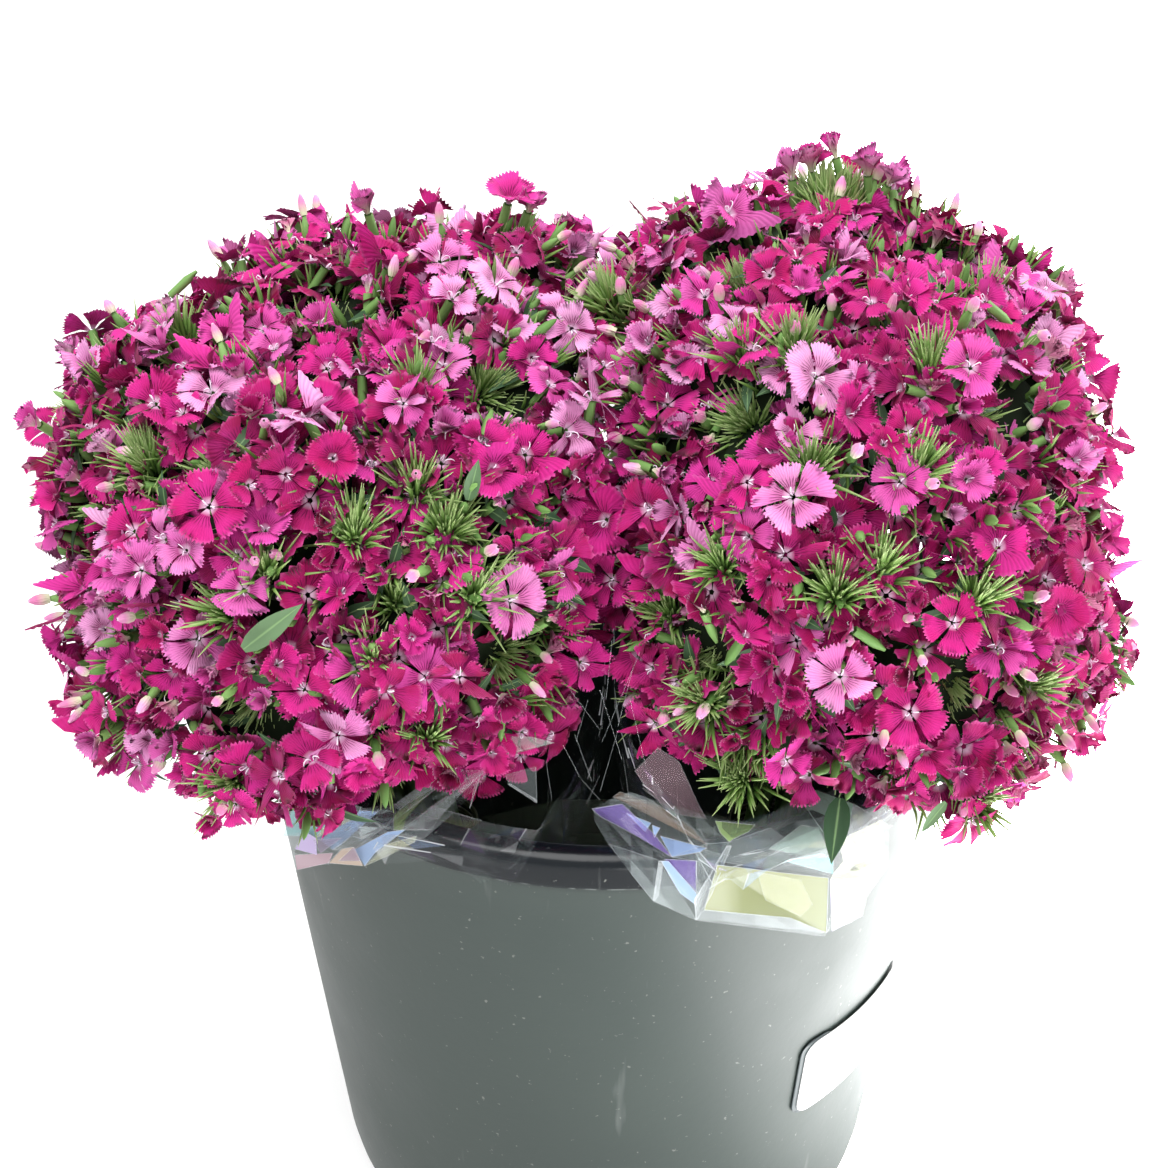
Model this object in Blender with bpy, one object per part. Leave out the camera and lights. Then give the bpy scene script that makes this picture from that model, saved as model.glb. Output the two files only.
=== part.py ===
"""A florist's bucket holding two tied and sleeved bunches of cut sweet william.

Metres, +Z up. The bucket stands on z = 0, and the whole object's bounding box
is centred on x = 0, y = 0. The front of the display faces -Y.
"""

import math
import random

import bmesh
import bpy
import numpy as np
from mathutils import Matrix, Vector
from mathutils.bvhtree import BVHTree

SEED = 11
SPREAD_SWEEPS = 260
SPREAD_AREA = 0.12
SPREAD_STEP = 0.2
SPREAD_LAST_STEP = 0.1
GAP = 0.0003

# Bucket, all radii from its own axis
BUCKET_SIDES = 36
BUCKET_TOP = 0.226
SKIRT_Z = 0.213
RIM_OUTER_R = 0.1315
RIM_INNER_R = 0.1215
BASE_R = 0.1035
BASE_ROUND = 0.007
WALL_SLOPE = 0.113
RIM_BEAD = 0.0055
RIM_FALL = 0.0020
SKIRT_SWELL = 0.005
WALL = 0.0025
FLOOR = 0.0035
FLOOR_ROUND = 0.004
SHARP_ANGLE = math.radians(35.0)
WATER_TOP = 0.070
WATER_GAP = 0.0008
WATER_HOLE = 0.0010
WATER_ROUND = 0.0060

# Label on the bucket's right side
LABEL_AZIMUTH = math.radians(-38.5)
LABEL_HALF_ANGLE = math.radians(16.0)
LABEL_Z = (0.075, 0.114)
LABEL_THICK = 0.0009
LABEL_COLUMNS = 5
LABEL_STAND_OFF = 0.0007

# Bunches: a dome of flower heads on a bundle of stems, one bunch each side
SIDES = {"left": -1.0, "right": 1.0}
STEMS_PER_BUNCH = 12
FLORETS_PER_BUNCH = 98
BUNDLE_FOOT_X = 0.046
BUNDLE_FOOT_R = 0.020
BUNDLE_TIE_R = 0.0118
TIE_Z = 0.140
TIE_GAP = 0.0012
TIE_SIZE = (0.0018, 0.004)
TIE_SIDES = 10
DOME_CENTRE = {"left": Vector((-0.084, -0.008, 0.266)), "right": Vector((0.079, -0.008, 0.270))}
DOME_RADII = {"left": (0.105, 0.122, 0.104), "right": (0.094, 0.122, 0.114)}
DOME_POWER = 2.9
DOME_SHEAR = {"left": 0.12, "right": 0.07}
DOME_LEAN = math.radians(6.0)
DOME_LIMIT = math.radians(98.0)
HEAD_LIMIT = math.radians(86.0)
DOME_SEED = {"left": 5, "right": 8}
FLORET_TO_MIDDLE = 0.003
HEAD_TO_MIDDLE = 0.028

# One flower head: places along its axis are shares of the dome's radius
HEAD_NECK = 0.50
HEAD_REACH = 0.003
PROUD_HEAD = {"left": ((-1.0, -0.15, 0.45), 0.009), "right": ((0.10, 0.45, 0.90), 0.011)}
HEAD_FOCUS = 0.42
HEAD_BULGE = 0.004
HEAD_VALLEY = 0.0055
HEAD_HALF_WIDTH = 0.050
ROOT_SHARE = 0.72
ROOT_IN_CORE = 0.62
ROOT_FROM_AXIS = 0.0066
ROOT_SINK = 0.0065
CORE_SIDES = 9
CORE_TRIALS = 30
CORE_WIDEST = math.radians(110.0)
CORE_BORE_R = 0.0034
CORE_NECK_R = 0.0090
CORE_REACH = 0.062
CORE_DEPTH = 0.0125
CORE_EDGE_DEPTH = 0.0160
CORE_OVER_RIM = 0.007
CORE_EDGE_GAP = 0.0014
CORE_STEP = 0.001
CROWN_SHARE = 0.85

# One floret: five petals with blunt toothed ends on a thin tube
FLORET_R = 0.0158
FLORET_NOTCH = 0.60
FLORET_SHARE = 0.46
FLORET_DISH = 0.0040
FLORET_NECK = 0.0075
FLORET_TUBE_R = 0.0017
FLORET_JITTER = 0.0020
FLORET_TILT = math.radians(7.0)
FLORET_RIM_ROOM = 0.022
FLORET_OVER_RIM = 0.0075
PETALS = 5
PETAL_OUTLINE = ((0.13, 1.0, 0.0), (0.87, 1.0, 0.0), (1.0, FLORET_NOTCH, 0.45))

# Stems, leaves and the needle-like bracts at the middle of each head
STEM_R = 0.0024
STEM_SIDES = 5
STEM_BEND_STEPS = 4
STEM_RISE = 0.50
STEM_SPLAY = 0.10
STEM_ENTRY = 0.30
LEAF_LENGTH = 0.046
LEAF_WIDTH = 0.010
LEAF_THICK = 0.0015
LEAF_STATIONS = ((0.30, 1.0, 0.06), (0.66, 0.72, 0.02))
LEAF_TIP_LIFT = -0.16
LEAVES_PER_STEM = 2
LEAF_TRIALS = 40
LEAF_SEGMENTS = (3, 4, 4)
LEAF_SPLAY = (0.35, 0.85)
LEAF_SIZES = (0.75, 1.1)
LEAF_ROOT = 0.2
LEAF_CLEARANCE = 0.0009
TUFT_DEPTH = 0.0135
TUFT_PUSH = 0.9
TUFT_LENGTH = 0.017
TUFT_BASE_R = 0.0038
TUFT_FAN = 0.0085
TUFT_LENGTHS = (0.85, 1.15)
TUFT_FANS = (0.7, 1.1)

# Clear film sleeves: each ring's height, and its half widths across and along the bucket
FILM = 0.0007
SLEEVE_COLUMNS = 18
SLEEVE_RINGS = (
    (0.084, 0.029, 0.029),
    (0.150, 0.044, 0.066),
    (0.205, 0.060, 0.116),
    (0.2285, 0.061, 0.120),
    (0.2300, 0.0615, 0.121),
    (0.2315, 0.062, 0.122),
)
SLEEVE_STAND = 0.012
SLEEVE_CREASE = 0.002
SLEEVE_STAND_REACH = 0.030
SLEEVE_CENTRE_X = 0.0615
SLEEVE_WALL_GAP = 0.0035
SLEEVE_OVER_TOP = 0.0007
SLEEVE_DROP = 0.003
SLEEVE_OVER_RIM = (RIM_INNER_R - 0.0020, RIM_OUTER_R + 0.0035, RIM_OUTER_R + 0.0070)
SLEEVE_HANG = {"left": (-125.0, 28.0, 0.012), "right": (-58.0, 27.0, 0.052)}
SLEEVE_POWER = 3.2

# Where the two bunches press together: a gently waved sheet near x = 0
SEAM_GAP = 0.0012
SEAM_WAVE = 0.0055
SEAM_LENGTH = (0.150, -0.110)

COLOURS = {
    "bucket": ((0.060, 0.072, 0.070, 1.0), 0.55),
    "water": ((0.10, 0.13, 0.12, 1.0), 0.05),
    "label": ((0.80, 0.80, 0.78, 1.0), 0.50),
    "film": ((0.85, 0.90, 0.92, 1.0), 0.10),
    "tie": ((0.55, 0.35, 0.15, 1.0), 0.60),
    "stem": ((0.13, 0.27, 0.07, 1.0), 0.60),
    "head": ((0.58, 0.01, 0.20, 1.0), 0.55),
}


def clear_scene():
    for obj in list(bpy.data.objects):
        bpy.data.objects.remove(obj, do_unlink=True)


def material(name, look):
    """A Principled material of one colour and roughness."""
    colour, roughness = COLOURS[look]
    mat = bpy.data.materials.new(name)
    mat.use_nodes = True
    shader = mat.node_tree.nodes["Principled BSDF"]
    shader.inputs["Base Color"].default_value = colour
    shader.inputs["Roughness"].default_value = roughness
    return mat


def mesh_object(name, solid, look):
    """One object from a (vertices, faces) pair, with its normals outward."""
    verts, faces = solid
    mesh = bpy.data.meshes.new(name)
    mesh.from_pydata([tuple(v) for v in verts], [], faces)
    bm = bmesh.new()
    bm.from_mesh(mesh)
    bmesh.ops.recalc_face_normals(bm, faces=bm.faces)
    bm.to_mesh(mesh)
    bm.free()
    obj = bpy.data.objects.new(name, mesh)
    obj.data.materials.append(material(name, look))
    bpy.context.scene.collection.objects.link(obj)
    return obj


def apply_modifiers(obj):
    """Replace the object's mesh by what its modifiers make of it."""
    depsgraph = bpy.context.evaluated_depsgraph_get()
    mesh = bpy.data.meshes.new_from_object(obj.evaluated_get(depsgraph))
    obj.modifiers.clear()
    old = obj.data
    obj.data = mesh
    bpy.data.meshes.remove(old)


def combine(name, solids, look, operation="UNION", solver="EXACT"):
    """Join every solid to the first, or cut them all from it, with one Boolean."""
    body = mesh_object(name, solids[0], look)
    group = bpy.data.collections.new(name + "_operands")
    bpy.context.scene.collection.children.link(group)
    for index, solid in enumerate(solids[1:]):
        operand = mesh_object(f"{name}_operand_{index}", solid, look)
        bpy.context.scene.collection.objects.unlink(operand)
        group.objects.link(operand)
    boolean = body.modifiers.new("combine", "BOOLEAN")
    boolean.operation = operation
    boolean.operand_type = "COLLECTION"
    boolean.collection = group
    boolean.solver = solver
    apply_modifiers(body)
    for operand in list(group.objects):
        bpy.data.objects.remove(operand, do_unlink=True)
    bpy.data.collections.remove(group)
    return body


def perpendicular(axis):
    """Two unit vectors square to an axis and to each other."""
    side = Vector((0.0, 0.0, 1.0)) if abs(axis.z) < 0.9 else Vector((1.0, 0.0, 0.0))
    u = axis.cross(side).normalized()
    return u, axis.cross(u).normalized()


def lathe(profile, sides, closed):
    """Turn a profile of (r, z) points: closed on itself, or ending on the axis."""
    verts = []
    rings = []
    for radius, z in profile:
        if radius == 0.0:
            rings.append([len(verts)])
            verts.append(Vector((0.0, 0.0, z)))
            continue
        rings.append(list(range(len(verts), len(verts) + sides)))
        for step in range(sides):
            angle = 2.0 * math.pi * step / sides
            verts.append(Vector((radius * math.cos(angle), radius * math.sin(angle), z)))
    faces = []
    pairs = list(zip(rings, rings[1:] + rings[:1])) if closed else list(zip(rings, rings[1:]))
    for low, high in pairs:
        for step in range(sides):
            after = (step + 1) % sides
            if len(low) == 1:
                faces.append((low[0], high[after], high[step]))
            elif len(high) == 1:
                faces.append((low[step], low[after], high[0]))
            else:
                faces.append((low[step], low[after], high[after], high[step]))
    return verts, faces


def placed(solid, origin, axis):
    """A solid made along +Z, moved so that its +Z follows an axis."""
    verts, faces = solid
    turn = axis.to_track_quat("Z", "Y").to_matrix()
    return [origin + turn @ v for v in verts], faces


def tube(points, radius, sides):
    """A closed tube with flat caps along a list of points, of one radius or one for each point."""
    verts = []
    faces = []
    radii = radius if isinstance(radius, list) else [radius] * len(points)
    u, v = perpendicular((points[1] - points[0]).normalized())
    for index, point in enumerate(points):
        before = points[max(index - 1, 0)]
        after = points[min(index + 1, len(points) - 1)]
        along = (after - before).normalized()
        u = (u - along * u.dot(along)).normalized()
        v = along.cross(u)
        for step in range(sides):
            angle = 2.0 * math.pi * step / sides
            verts.append(point + (u * math.cos(angle) + v * math.sin(angle)) * radii[index])
    for index in range(len(points) - 1):
        for step in range(sides):
            after = (step + 1) % sides
            low = index * sides
            faces.append((low + step, low + after, low + sides + after, low + sides + step))
    faces.append(tuple(reversed(range(sides))))
    faces.append(tuple(range(len(verts) - sides, len(verts))))
    return verts, faces


def wall_outer_r(z):
    return BASE_R + WALL_SLOPE * z


def bucket_profile():
    """Half section of the bucket, from the middle of its base round to its floor."""
    inner_foot = wall_outer_r(FLOOR) - WALL
    bevel = 0.3 * BASE_ROUND
    return (
        (0.0, 0.0),
        (BASE_R - BASE_ROUND, 0.0),
        (BASE_R - bevel, bevel),
        (wall_outer_r(BASE_ROUND), BASE_ROUND),
        (wall_outer_r(SKIRT_Z), SKIRT_Z),
        (RIM_OUTER_R - 0.5 * RIM_FALL, SKIRT_Z),
        (RIM_OUTER_R, SKIRT_Z + SKIRT_SWELL),
        (RIM_OUTER_R - RIM_FALL, BUCKET_TOP - 0.75 * RIM_FALL),
        (RIM_OUTER_R - RIM_BEAD, BUCKET_TOP),
        (RIM_INNER_R, BUCKET_TOP - 1.25 * RIM_FALL),
        (RIM_INNER_R, SKIRT_Z),
        (inner_foot, FLOOR + FLOOR_ROUND),
        (inner_foot - FLOOR_ROUND, FLOOR),
        (0.0, FLOOR),
    )


def build_bucket():
    obj = mesh_object("bucket", lathe(bucket_profile(), BUCKET_SIDES, closed=False), "bucket")
    obj.data.shade_smooth()
    obj.data.set_sharp_from_angle(angle=SHARP_ANGLE)
    return obj


def inner_wall_r(z):
    """The bucket's inner radius at a height between its floor and its rim."""
    low_z, low_r = FLOOR + FLOOR_ROUND, wall_outer_r(FLOOR) - WALL
    share = (z - low_z) / (SKIRT_Z - low_z)
    return low_r + share * (RIM_INNER_R - low_r)


def build_label():
    """A thin blank panel that follows the bucket's wall."""
    verts = []
    columns = LABEL_COLUMNS
    for z in LABEL_Z:
        for offset in (LABEL_STAND_OFF, LABEL_STAND_OFF + LABEL_THICK):
            for step in range(columns):
                angle = LABEL_AZIMUTH + LABEL_HALF_ANGLE * (2.0 * step / (columns - 1) - 1.0)
                radius = wall_outer_r(z) + offset
                verts.append(Vector((radius * math.cos(angle), radius * math.sin(angle), z)))
    rows = [list(range(row * columns, (row + 1) * columns)) for row in range(4)]
    inner_low, outer_low, inner_high, outer_high = rows
    outline = inner_low + outer_low[::-1]
    outline_high = inner_high + outer_high[::-1]
    faces = []
    for index in range(len(outline)):
        after = (index + 1) % len(outline)
        faces.append((outline[index], outline[after], outline_high[after], outline_high[index]))
    for step in range(columns - 1):
        faces.append((inner_low[step], inner_low[step + 1], outer_low[step + 1], outer_low[step]))
        faces.append((inner_high[step], inner_high[step + 1], outer_high[step + 1], outer_high[step]))
    return mesh_object("label", (verts, faces), "label")


def seam_x(y, z):
    """Where the bunches meet at a depth and a height."""
    return SEAM_WAVE * math.sin(2.0 * math.pi * (y / SEAM_LENGTH[0] + z / SEAM_LENGTH[1]))


def room(point, sign, width=0.0):
    """How far a point, with something half as wide as width round it, is from the seam."""
    return (point.x - seam_x(point.y, point.z)) * sign - SEAM_GAP - width


class Bunch:
    """The layout of one bunch: its dome, its heads and where its stems run."""

    def __init__(self, side):
        self.side = side
        self.sign = SIDES[side]
        self.centre = DOME_CENTRE[side]
        self.shear = DOME_SHEAR[side] * self.sign
        self.foot = Vector((self.sign * BUNDLE_FOOT_X, 0.0, FLOOR + GAP))
        self.lean = np.array((self.sign * math.sin(DOME_LEAN), 0.0, math.cos(DOME_LEAN)))
        seed = DOME_SEED[side]
        self.heads = spread(STEMS_PER_BUNCH, HEAD_LIMIT, HEAD_TO_MIDDLE, self, seed, None)
        self.reach = head_reach(self, seed)
        self.outlines = [core_outline(self, head) for head in range(STEMS_PER_BUNCH)]
        self.florets = spread(FLORETS_PER_BUNCH, DOME_LIMIT, FLORET_TO_MIDDLE, self, seed + 1, self.heads)

    def surface(self, directions):
        """Points of the dome, a squarish ellipsoid that rises towards the other bunch."""
        directions = np.atleast_2d(directions)
        level = np.hypot(directions[:, 0], directions[:, 1])
        size = (level ** DOME_POWER + np.abs(directions[:, 2]) ** DOME_POWER) ** (1.0 / DOME_POWER)
        real = directions / size[:, None] * np.array(DOME_RADII[self.side])
        real[:, 2] -= self.shear * real[:, 0]
        return real + np.array(self.centre)

    def on_dome(self, direction, share=1.0):
        """The point in a unit direction from the dome's centre, at a share of its radius."""
        return self.centre.lerp(Vector(self.surface(direction)[0]), share)

    def axis(self, head):
        return (self.on_dome(self.heads[head]) - self.centre).normalized()

    def neck(self, head):
        """The middle of a head's underside."""
        return self.on_dome(self.heads[head], HEAD_NECK)

    def crown(self, head):
        """The middle of a head's top, where its florets' faces lie."""
        return self.on_dome(self.heads[head]) + self.axis(head) * self.reach[head]

    def bundle_centre(self, z):
        share = (z - self.foot.z) / (self.centre.z - self.foot.z)
        return self.foot.lerp(self.centre, share)


def head_reach(bunch, seed):
    """How far each head stands out of the dome: a little by chance, and one head by more."""
    rng = random.Random(seed)
    reach = [rng.uniform(-HEAD_REACH, HEAD_REACH) for head in bunch.heads]
    direction, amount = PROUD_HEAD[bunch.side]
    proud = int(np.argmax(bunch.heads @ np.array(direction)))
    reach[proud] = amount
    return reach


def spread(count, limit, to_middle, bunch, seed, fixed):
    """Unit directions spread evenly over a dome's cap by mutual repulsion."""
    rng = np.random.default_rng(seed)
    polar = np.arccos(1.0 - rng.random(count) * (1.0 - math.cos(limit)))
    turn = rng.random(count) * 2.0 * math.pi
    points = np.stack((np.sin(polar) * np.cos(turn), np.sin(polar) * np.sin(turn), np.cos(polar)), axis=1)
    points = tilt_to(points, bunch.lean)
    spacing = math.sqrt(SPREAD_AREA / count)
    middle = np.array(bunch.centre)
    for sweep in range(SPREAD_SWEEPS):
        real = bunch.surface(points)
        push = repulsion(real, real)
        if fixed is not None:
            push += repulsion(real, bunch.surface(fixed)) * TUFT_PUSH
        push *= spacing ** 4
        size = np.maximum(np.linalg.norm(push, axis=1, keepdims=True), 1e-9)
        calm = 1.0 - (1.0 - SPREAD_LAST_STEP) * sweep / SPREAD_SWEEPS
        push *= np.minimum(1.0, SPREAD_STEP * spacing / size) * calm
        moved = real + push - middle
        moved[:, 0] = bunch.sign * np.maximum(moved[:, 0] * bunch.sign, to_middle - abs(middle[0]))
        moved[:, 2] += bunch.shear * moved[:, 0]
        points = moved / np.array(DOME_RADII[bunch.side])
        points /= np.linalg.norm(points, axis=1, keepdims=True)
        points = keep_in_cap(points, bunch.lean, limit)
    return points


def repulsion(real, others):
    """The push on each point from all the others, falling off with the third power of distance."""
    step = real[:, None, :] - others[None, :, :]
    far = np.linalg.norm(step, axis=2)
    far[far < 1e-9] = 1.0
    return (step / far[..., None] ** 4).sum(axis=1)


def tilt_to(points, axis):
    """Turn points made around +Z to lie around an axis in the XZ plane."""
    cos, sin = axis[2], axis[0]
    turned = points.copy()
    turned[:, 0] = points[:, 0] * cos + points[:, 2] * sin
    turned[:, 2] = -points[:, 0] * sin + points[:, 2] * cos
    return turned


def keep_in_cap(points, axis, limit):
    """Bring points past the cap's edge back onto it."""
    along = points @ axis
    past = along < math.cos(limit)
    across = points - along[:, None] * axis
    across /= np.linalg.norm(across, axis=1, keepdims=True) + 1e-12
    edge = math.cos(limit) * axis + math.sin(limit) * across
    return np.where(past[:, None], edge, points)


def stem_points(bunch, head):
    """A stem's centre line, from the bucket's floor to the middle of its head."""
    direction = bunch.heads[head]
    along = float(np.dot(direction, bunch.lean))
    out = Vector(direction - along * bunch.lean)
    out.z = 0.0
    out = out.normalized() * math.sin(math.acos(along) / 2.0) / math.sin(HEAD_LIMIT / 2.0)
    axis = bunch.axis(head)
    foot = bunch.foot + out * BUNDLE_FOOT_R
    tie = bunch.bundle_centre(TIE_Z) + out * BUNDLE_TIE_R
    neck = bunch.neck(head)
    rise = (bunch.centre - bunch.foot).normalized()
    reach = (neck - tie).length
    first = tie + (rise + out * STEM_SPLAY) * reach * STEM_RISE
    second = neck - axis * reach * STEM_ENTRY
    points = [foot, tie]
    for step in range(1, STEM_BEND_STEPS + 1):
        points.append(bezier(tie, first, second, neck, step / STEM_BEND_STEPS))
    points.append(bunch.crown(head) - axis * TUFT_DEPTH)
    return points


def bezier(a, b, c, d, t):
    s = 1.0 - t
    return a * s ** 3 + b * (3.0 * s * s * t) + c * (3.0 * s * t * t) + d * t ** 3


def leaf(base, along, up, length):
    """A lance-shaped blade with a keeled rib, arched back from its stem."""
    across = along.cross(up).normalized()
    verts = [base]
    for share, width, lift in LEAF_STATIONS:
        spine = base + along * length * share + up * length * lift
        half = LEAF_WIDTH * 0.5 * width
        thick = LEAF_THICK * 0.5
        verts += [spine + across * half, spine + up * thick, spine - across * half, spine - up * thick]
    tip = len(verts)
    verts.append(base + along * length + up * length * LEAF_TIP_LIFT)
    faces = []
    for step in range(4):
        after = (step + 1) % 4
        faces.append((0, 1 + after, 1 + step))
        faces += [(1 + step, 1 + after, 5 + after), (1 + step, 5 + after, 5 + step)]
        faces.append((5 + step, 5 + after, tip))
    return verts, faces


def floret(middle, normal, roll, radius, root):
    """Five petals dished round a throat, on a three-sided tube that ends at a root."""
    u, v = perpendicular(normal)
    verts = [middle - normal * FLORET_DISH]
    rim = []
    for petal in range(PETALS):
        for share, reach, sink in PETAL_OUTLINE:
            angle = roll + 2.0 * math.pi * (petal + share) / PETALS
            drop = FLORET_DISH * sink
            rim.append(len(verts))
            spoke = u * math.cos(angle) + v * math.sin(angle)
            verts.append(middle + spoke * radius * reach - normal * drop)
    faces = [(0, rim[step], rim[(step + 1) % len(rim)]) for step in range(len(rim))]
    neck = []
    down = (root - middle).normalized()
    for step in range(3):
        angle = roll + 2.0 * math.pi * (step + 0.5) / 3.0
        spoke = u * math.cos(angle) + v * math.sin(angle)
        neck.append(len(verts))
        verts.append(middle + down * FLORET_NECK + spoke * FLORET_TUBE_R)
    foot = [len(verts), len(verts) + 1, len(verts) + 2]
    for step in range(3):
        angle = roll + 2.0 * math.pi * (step + 0.5) / 3.0
        verts.append(root + (u * math.cos(angle) + v * math.sin(angle)) * FLORET_TUBE_R)
    per_side = len(rim) // 3
    for step in range(3):
        for index in range(per_side):
            k = step * per_side + index
            faces.append((rim[(k + 1) % len(rim)], rim[k], neck[step]))
        after = (step + 1) % 3
        corner = rim[((step + 1) * per_side) % len(rim)]
        faces.append((corner, neck[step], neck[after]))
        faces.append((neck[after], neck[step], foot[step], foot[after]))
    faces.append(tuple(foot))
    return verts, faces


def nearest_head(bunch, direction):
    gaps = np.linalg.norm(bunch.surface(bunch.heads) - bunch.surface(direction), axis=1)
    return int(np.argmin(gaps)), float(gaps.min())


def floret_places(bunch):
    """Where each floret's middle lies, which head it belongs to and which way it faces."""
    rng = random.Random(SEED + int(bunch.sign))
    places = []
    for direction in bunch.florets:
        head, off_axis = nearest_head(bunch, direction)
        fall = min(1.0, (off_axis / HEAD_HALF_WIDTH) ** 2)
        lift = (bunch.reach[head] + HEAD_BULGE) * (1.0 - fall) - HEAD_VALLEY * fall
        lift += rng.uniform(-FLORET_JITTER, FLORET_JITTER)
        middle = bunch.on_dome(direction)
        middle += (middle - bunch.centre).normalized() * lift
        focus = bunch.on_dome(bunch.heads[head], HEAD_FOCUS)
        normal = (middle - focus).normalized()
        u, v = perpendicular(normal)
        tilt_u = math.tan(rng.uniform(-FLORET_TILT, FLORET_TILT))
        tilt_v = math.tan(rng.uniform(-FLORET_TILT, FLORET_TILT))
        normal = (normal + u * tilt_u + v * tilt_v).normalized()
        middle.x -= bunch.sign * min(0.0, room(middle, bunch.sign, across(normal.x)))
        if math.hypot(middle.x, middle.y) < RIM_OUTER_R + FLORET_RIM_ROOM:
            middle.z = max(middle.z, BUCKET_TOP + FLORET_OVER_RIM + across(normal.z))
        places.append((head, middle, normal, rng.uniform(0.0, 2.0 * math.pi)))
    return places


def across(component):
    """How far a floret reaches along an axis on which its normal has this component."""
    return FLORET_R * math.sqrt(max(0.0, 1.0 - component ** 2))


def floret_radius(bunch, places, index):
    """A floret's radius, less where another head's floret or its own head's bracts are close."""
    head, middle = places[index][0], places[index][1]
    closest = min((middle - other[1]).length for other in places if other[0] != head)
    from_crown = middle - bunch.crown(head)
    axis = bunch.axis(head)
    from_tuft = (from_crown - axis * from_crown.dot(axis)).length
    return min(FLORET_R, FLORET_SHARE * closest, from_tuft - TUFT_FAN)


def core(bunch, head):
    """The body under a head's florets: bored for its stem, and wide enough to meet its neighbours."""
    axis = bunch.axis(head)
    neck = bunch.neck(head)
    crown = bunch.crown(head)
    u, v = perpendicular(axis)
    outline = bunch.outlines[head]
    even = 2.0 * math.pi / CORE_SIDES
    first = sum(angle - even * step for step, (angle, reach) in enumerate(outline)) / CORE_SIDES
    rings = [[], [], [], []]
    for step, (angle, reach) in enumerate(outline):
        turn = first + even * step
        spoke = u * math.cos(turn) + v * math.sin(turn)
        rings[0].append(neck + spoke * CORE_BORE_R)
        rings[1].append(neck + spoke * CORE_NECK_R)
        edge_spoke = u * math.cos(angle) + v * math.sin(angle)
        rings[2].append(under_dome(bunch, crown + edge_spoke * reach, CORE_EDGE_DEPTH))
        rings[3].append(crown - axis * CORE_DEPTH + spoke * CORE_BORE_R)
    verts = [point for ring in rings for point in ring]
    faces = []
    for ring in range(4):
        low, high = ring * CORE_SIDES, ((ring + 1) % 4) * CORE_SIDES
        for step in range(CORE_SIDES):
            after = (step + 1) % CORE_SIDES
            faces += [(low + step, low + after, high + after), (low + step, high + after, high + step)]
    return verts, faces


def core_outline(bunch, head):
    """The few (angle, reach) points round a core that keep most of the head's own area."""
    u, v = perpendicular(bunch.axis(head))
    outline = []
    for step in range(CORE_TRIALS):
        turn = 2.0 * math.pi * step / CORE_TRIALS
        spoke = u * math.cos(turn) + v * math.sin(turn)
        outline.append((turn, core_reach(bunch, head, spoke)))
    while len(outline) > CORE_SIDES:
        outline.pop(least_corner(outline))
    return outline


def outline_reach(outline, turn):
    """How far the straight-sided outline reaches in a direction."""
    ray = (math.cos(turn), math.sin(turn))
    for index, (angle, reach) in enumerate(outline):
        before_angle, before_reach = outline[index - 1]
        ax, ay = before_reach * math.cos(before_angle), before_reach * math.sin(before_angle)
        bx, by = reach * math.cos(angle), reach * math.sin(angle)
        start = ray[0] * ay - ray[1] * ax
        end = ray[0] * by - ray[1] * bx
        if start <= 0.0 < end:
            share = start / (start - end)
            return (ax + (bx - ax) * share) * ray[0] + (ay + (by - ay) * share) * ray[1]
    return CORE_NECK_R


def least_corner(outline):
    """The outline's point whose loss costs the least area, without opening a wide angle."""
    costs = []
    flat = [Vector((reach * math.cos(angle), reach * math.sin(angle))) for angle, reach in outline]
    for index, point in enumerate(flat):
        before, after = flat[index - 1], flat[(index + 1) % len(flat)]
        first, second = before - point, after - point
        area = abs(first.x * second.y - first.y * second.x) * 0.5
        wide = before.angle(after) > CORE_WIDEST
        costs.append(area + (1.0 if wide else 0.0))
    return costs.index(min(costs))


def under_dome(bunch, point, depth):
    """The point towards the dome's centre that lies a depth below its surface."""
    out = (point - bunch.centre).normalized()
    scaled = out.copy()
    scaled.z += bunch.shear * out.x
    unit = np.array(scaled) / np.array(DOME_RADII[bunch.side])
    unit /= np.linalg.norm(unit)
    return bunch.on_dome(unit) - out * depth


def core_reach(bunch, head, spoke):
    """How far a core reaches along a spoke before it is nearer to another head or to the seam."""
    crown = bunch.crown(head)
    reach = CORE_NECK_R
    while reach < CORE_REACH:
        edge = under_dome(bunch, crown + spoke * (reach + CORE_STEP), CORE_EDGE_DEPTH)
        if not owns(bunch, head, edge):
            break
        reach += CORE_STEP
    return reach


def owns(bunch, head, point):
    """Whether a point is nearer to this head's middle than to any other, and clear of seam and rim."""
    gaps = [(bunch.on_dome(direction, CROWN_SHARE) - point).length for direction in bunch.heads]
    own = gaps.pop(head)
    over_rim = point.z > BUCKET_TOP + CORE_OVER_RIM
    return own + CORE_EDGE_GAP < min(gaps) and room(point, bunch.sign) > 0.0 and over_rim


def build_heads(bunch):
    """One object a head: its florets fused to a bored core that its stem runs through."""
    places = floret_places(bunch)
    made = []
    for head in range(STEMS_PER_BUNCH):
        solids = [core(bunch, head)]
        for index, (owner, middle, normal, roll) in enumerate(places):
            if owner == head:
                root = floret_root(bunch, head, middle)
                solids.append(floret(middle, normal, roll, floret_radius(bunch, places, index), root))
        made.append(combine(f"head_{bunch.side}_{head + 1:02d}", solids, "head", solver="MANIFOLD"))
    return made


def floret_root(bunch, head, middle):
    """The point inside the core that a floret's tube ends at."""
    u, v = perpendicular(bunch.axis(head))
    out = middle - bunch.crown(head)
    across_u, across_v = out.dot(u), out.dot(v)
    turn = math.atan2(across_v, across_u)
    edge = outline_reach(bunch.outlines[head], turn)
    reach = max(min(math.hypot(across_u, across_v) * ROOT_SHARE, edge * ROOT_IN_CORE), ROOT_FROM_AXIS)
    spoke = u * math.cos(turn) + v * math.sin(turn)
    return under_dome(bunch, bunch.crown(head) + spoke * reach, CORE_EDGE_DEPTH + ROOT_SINK)


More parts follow.
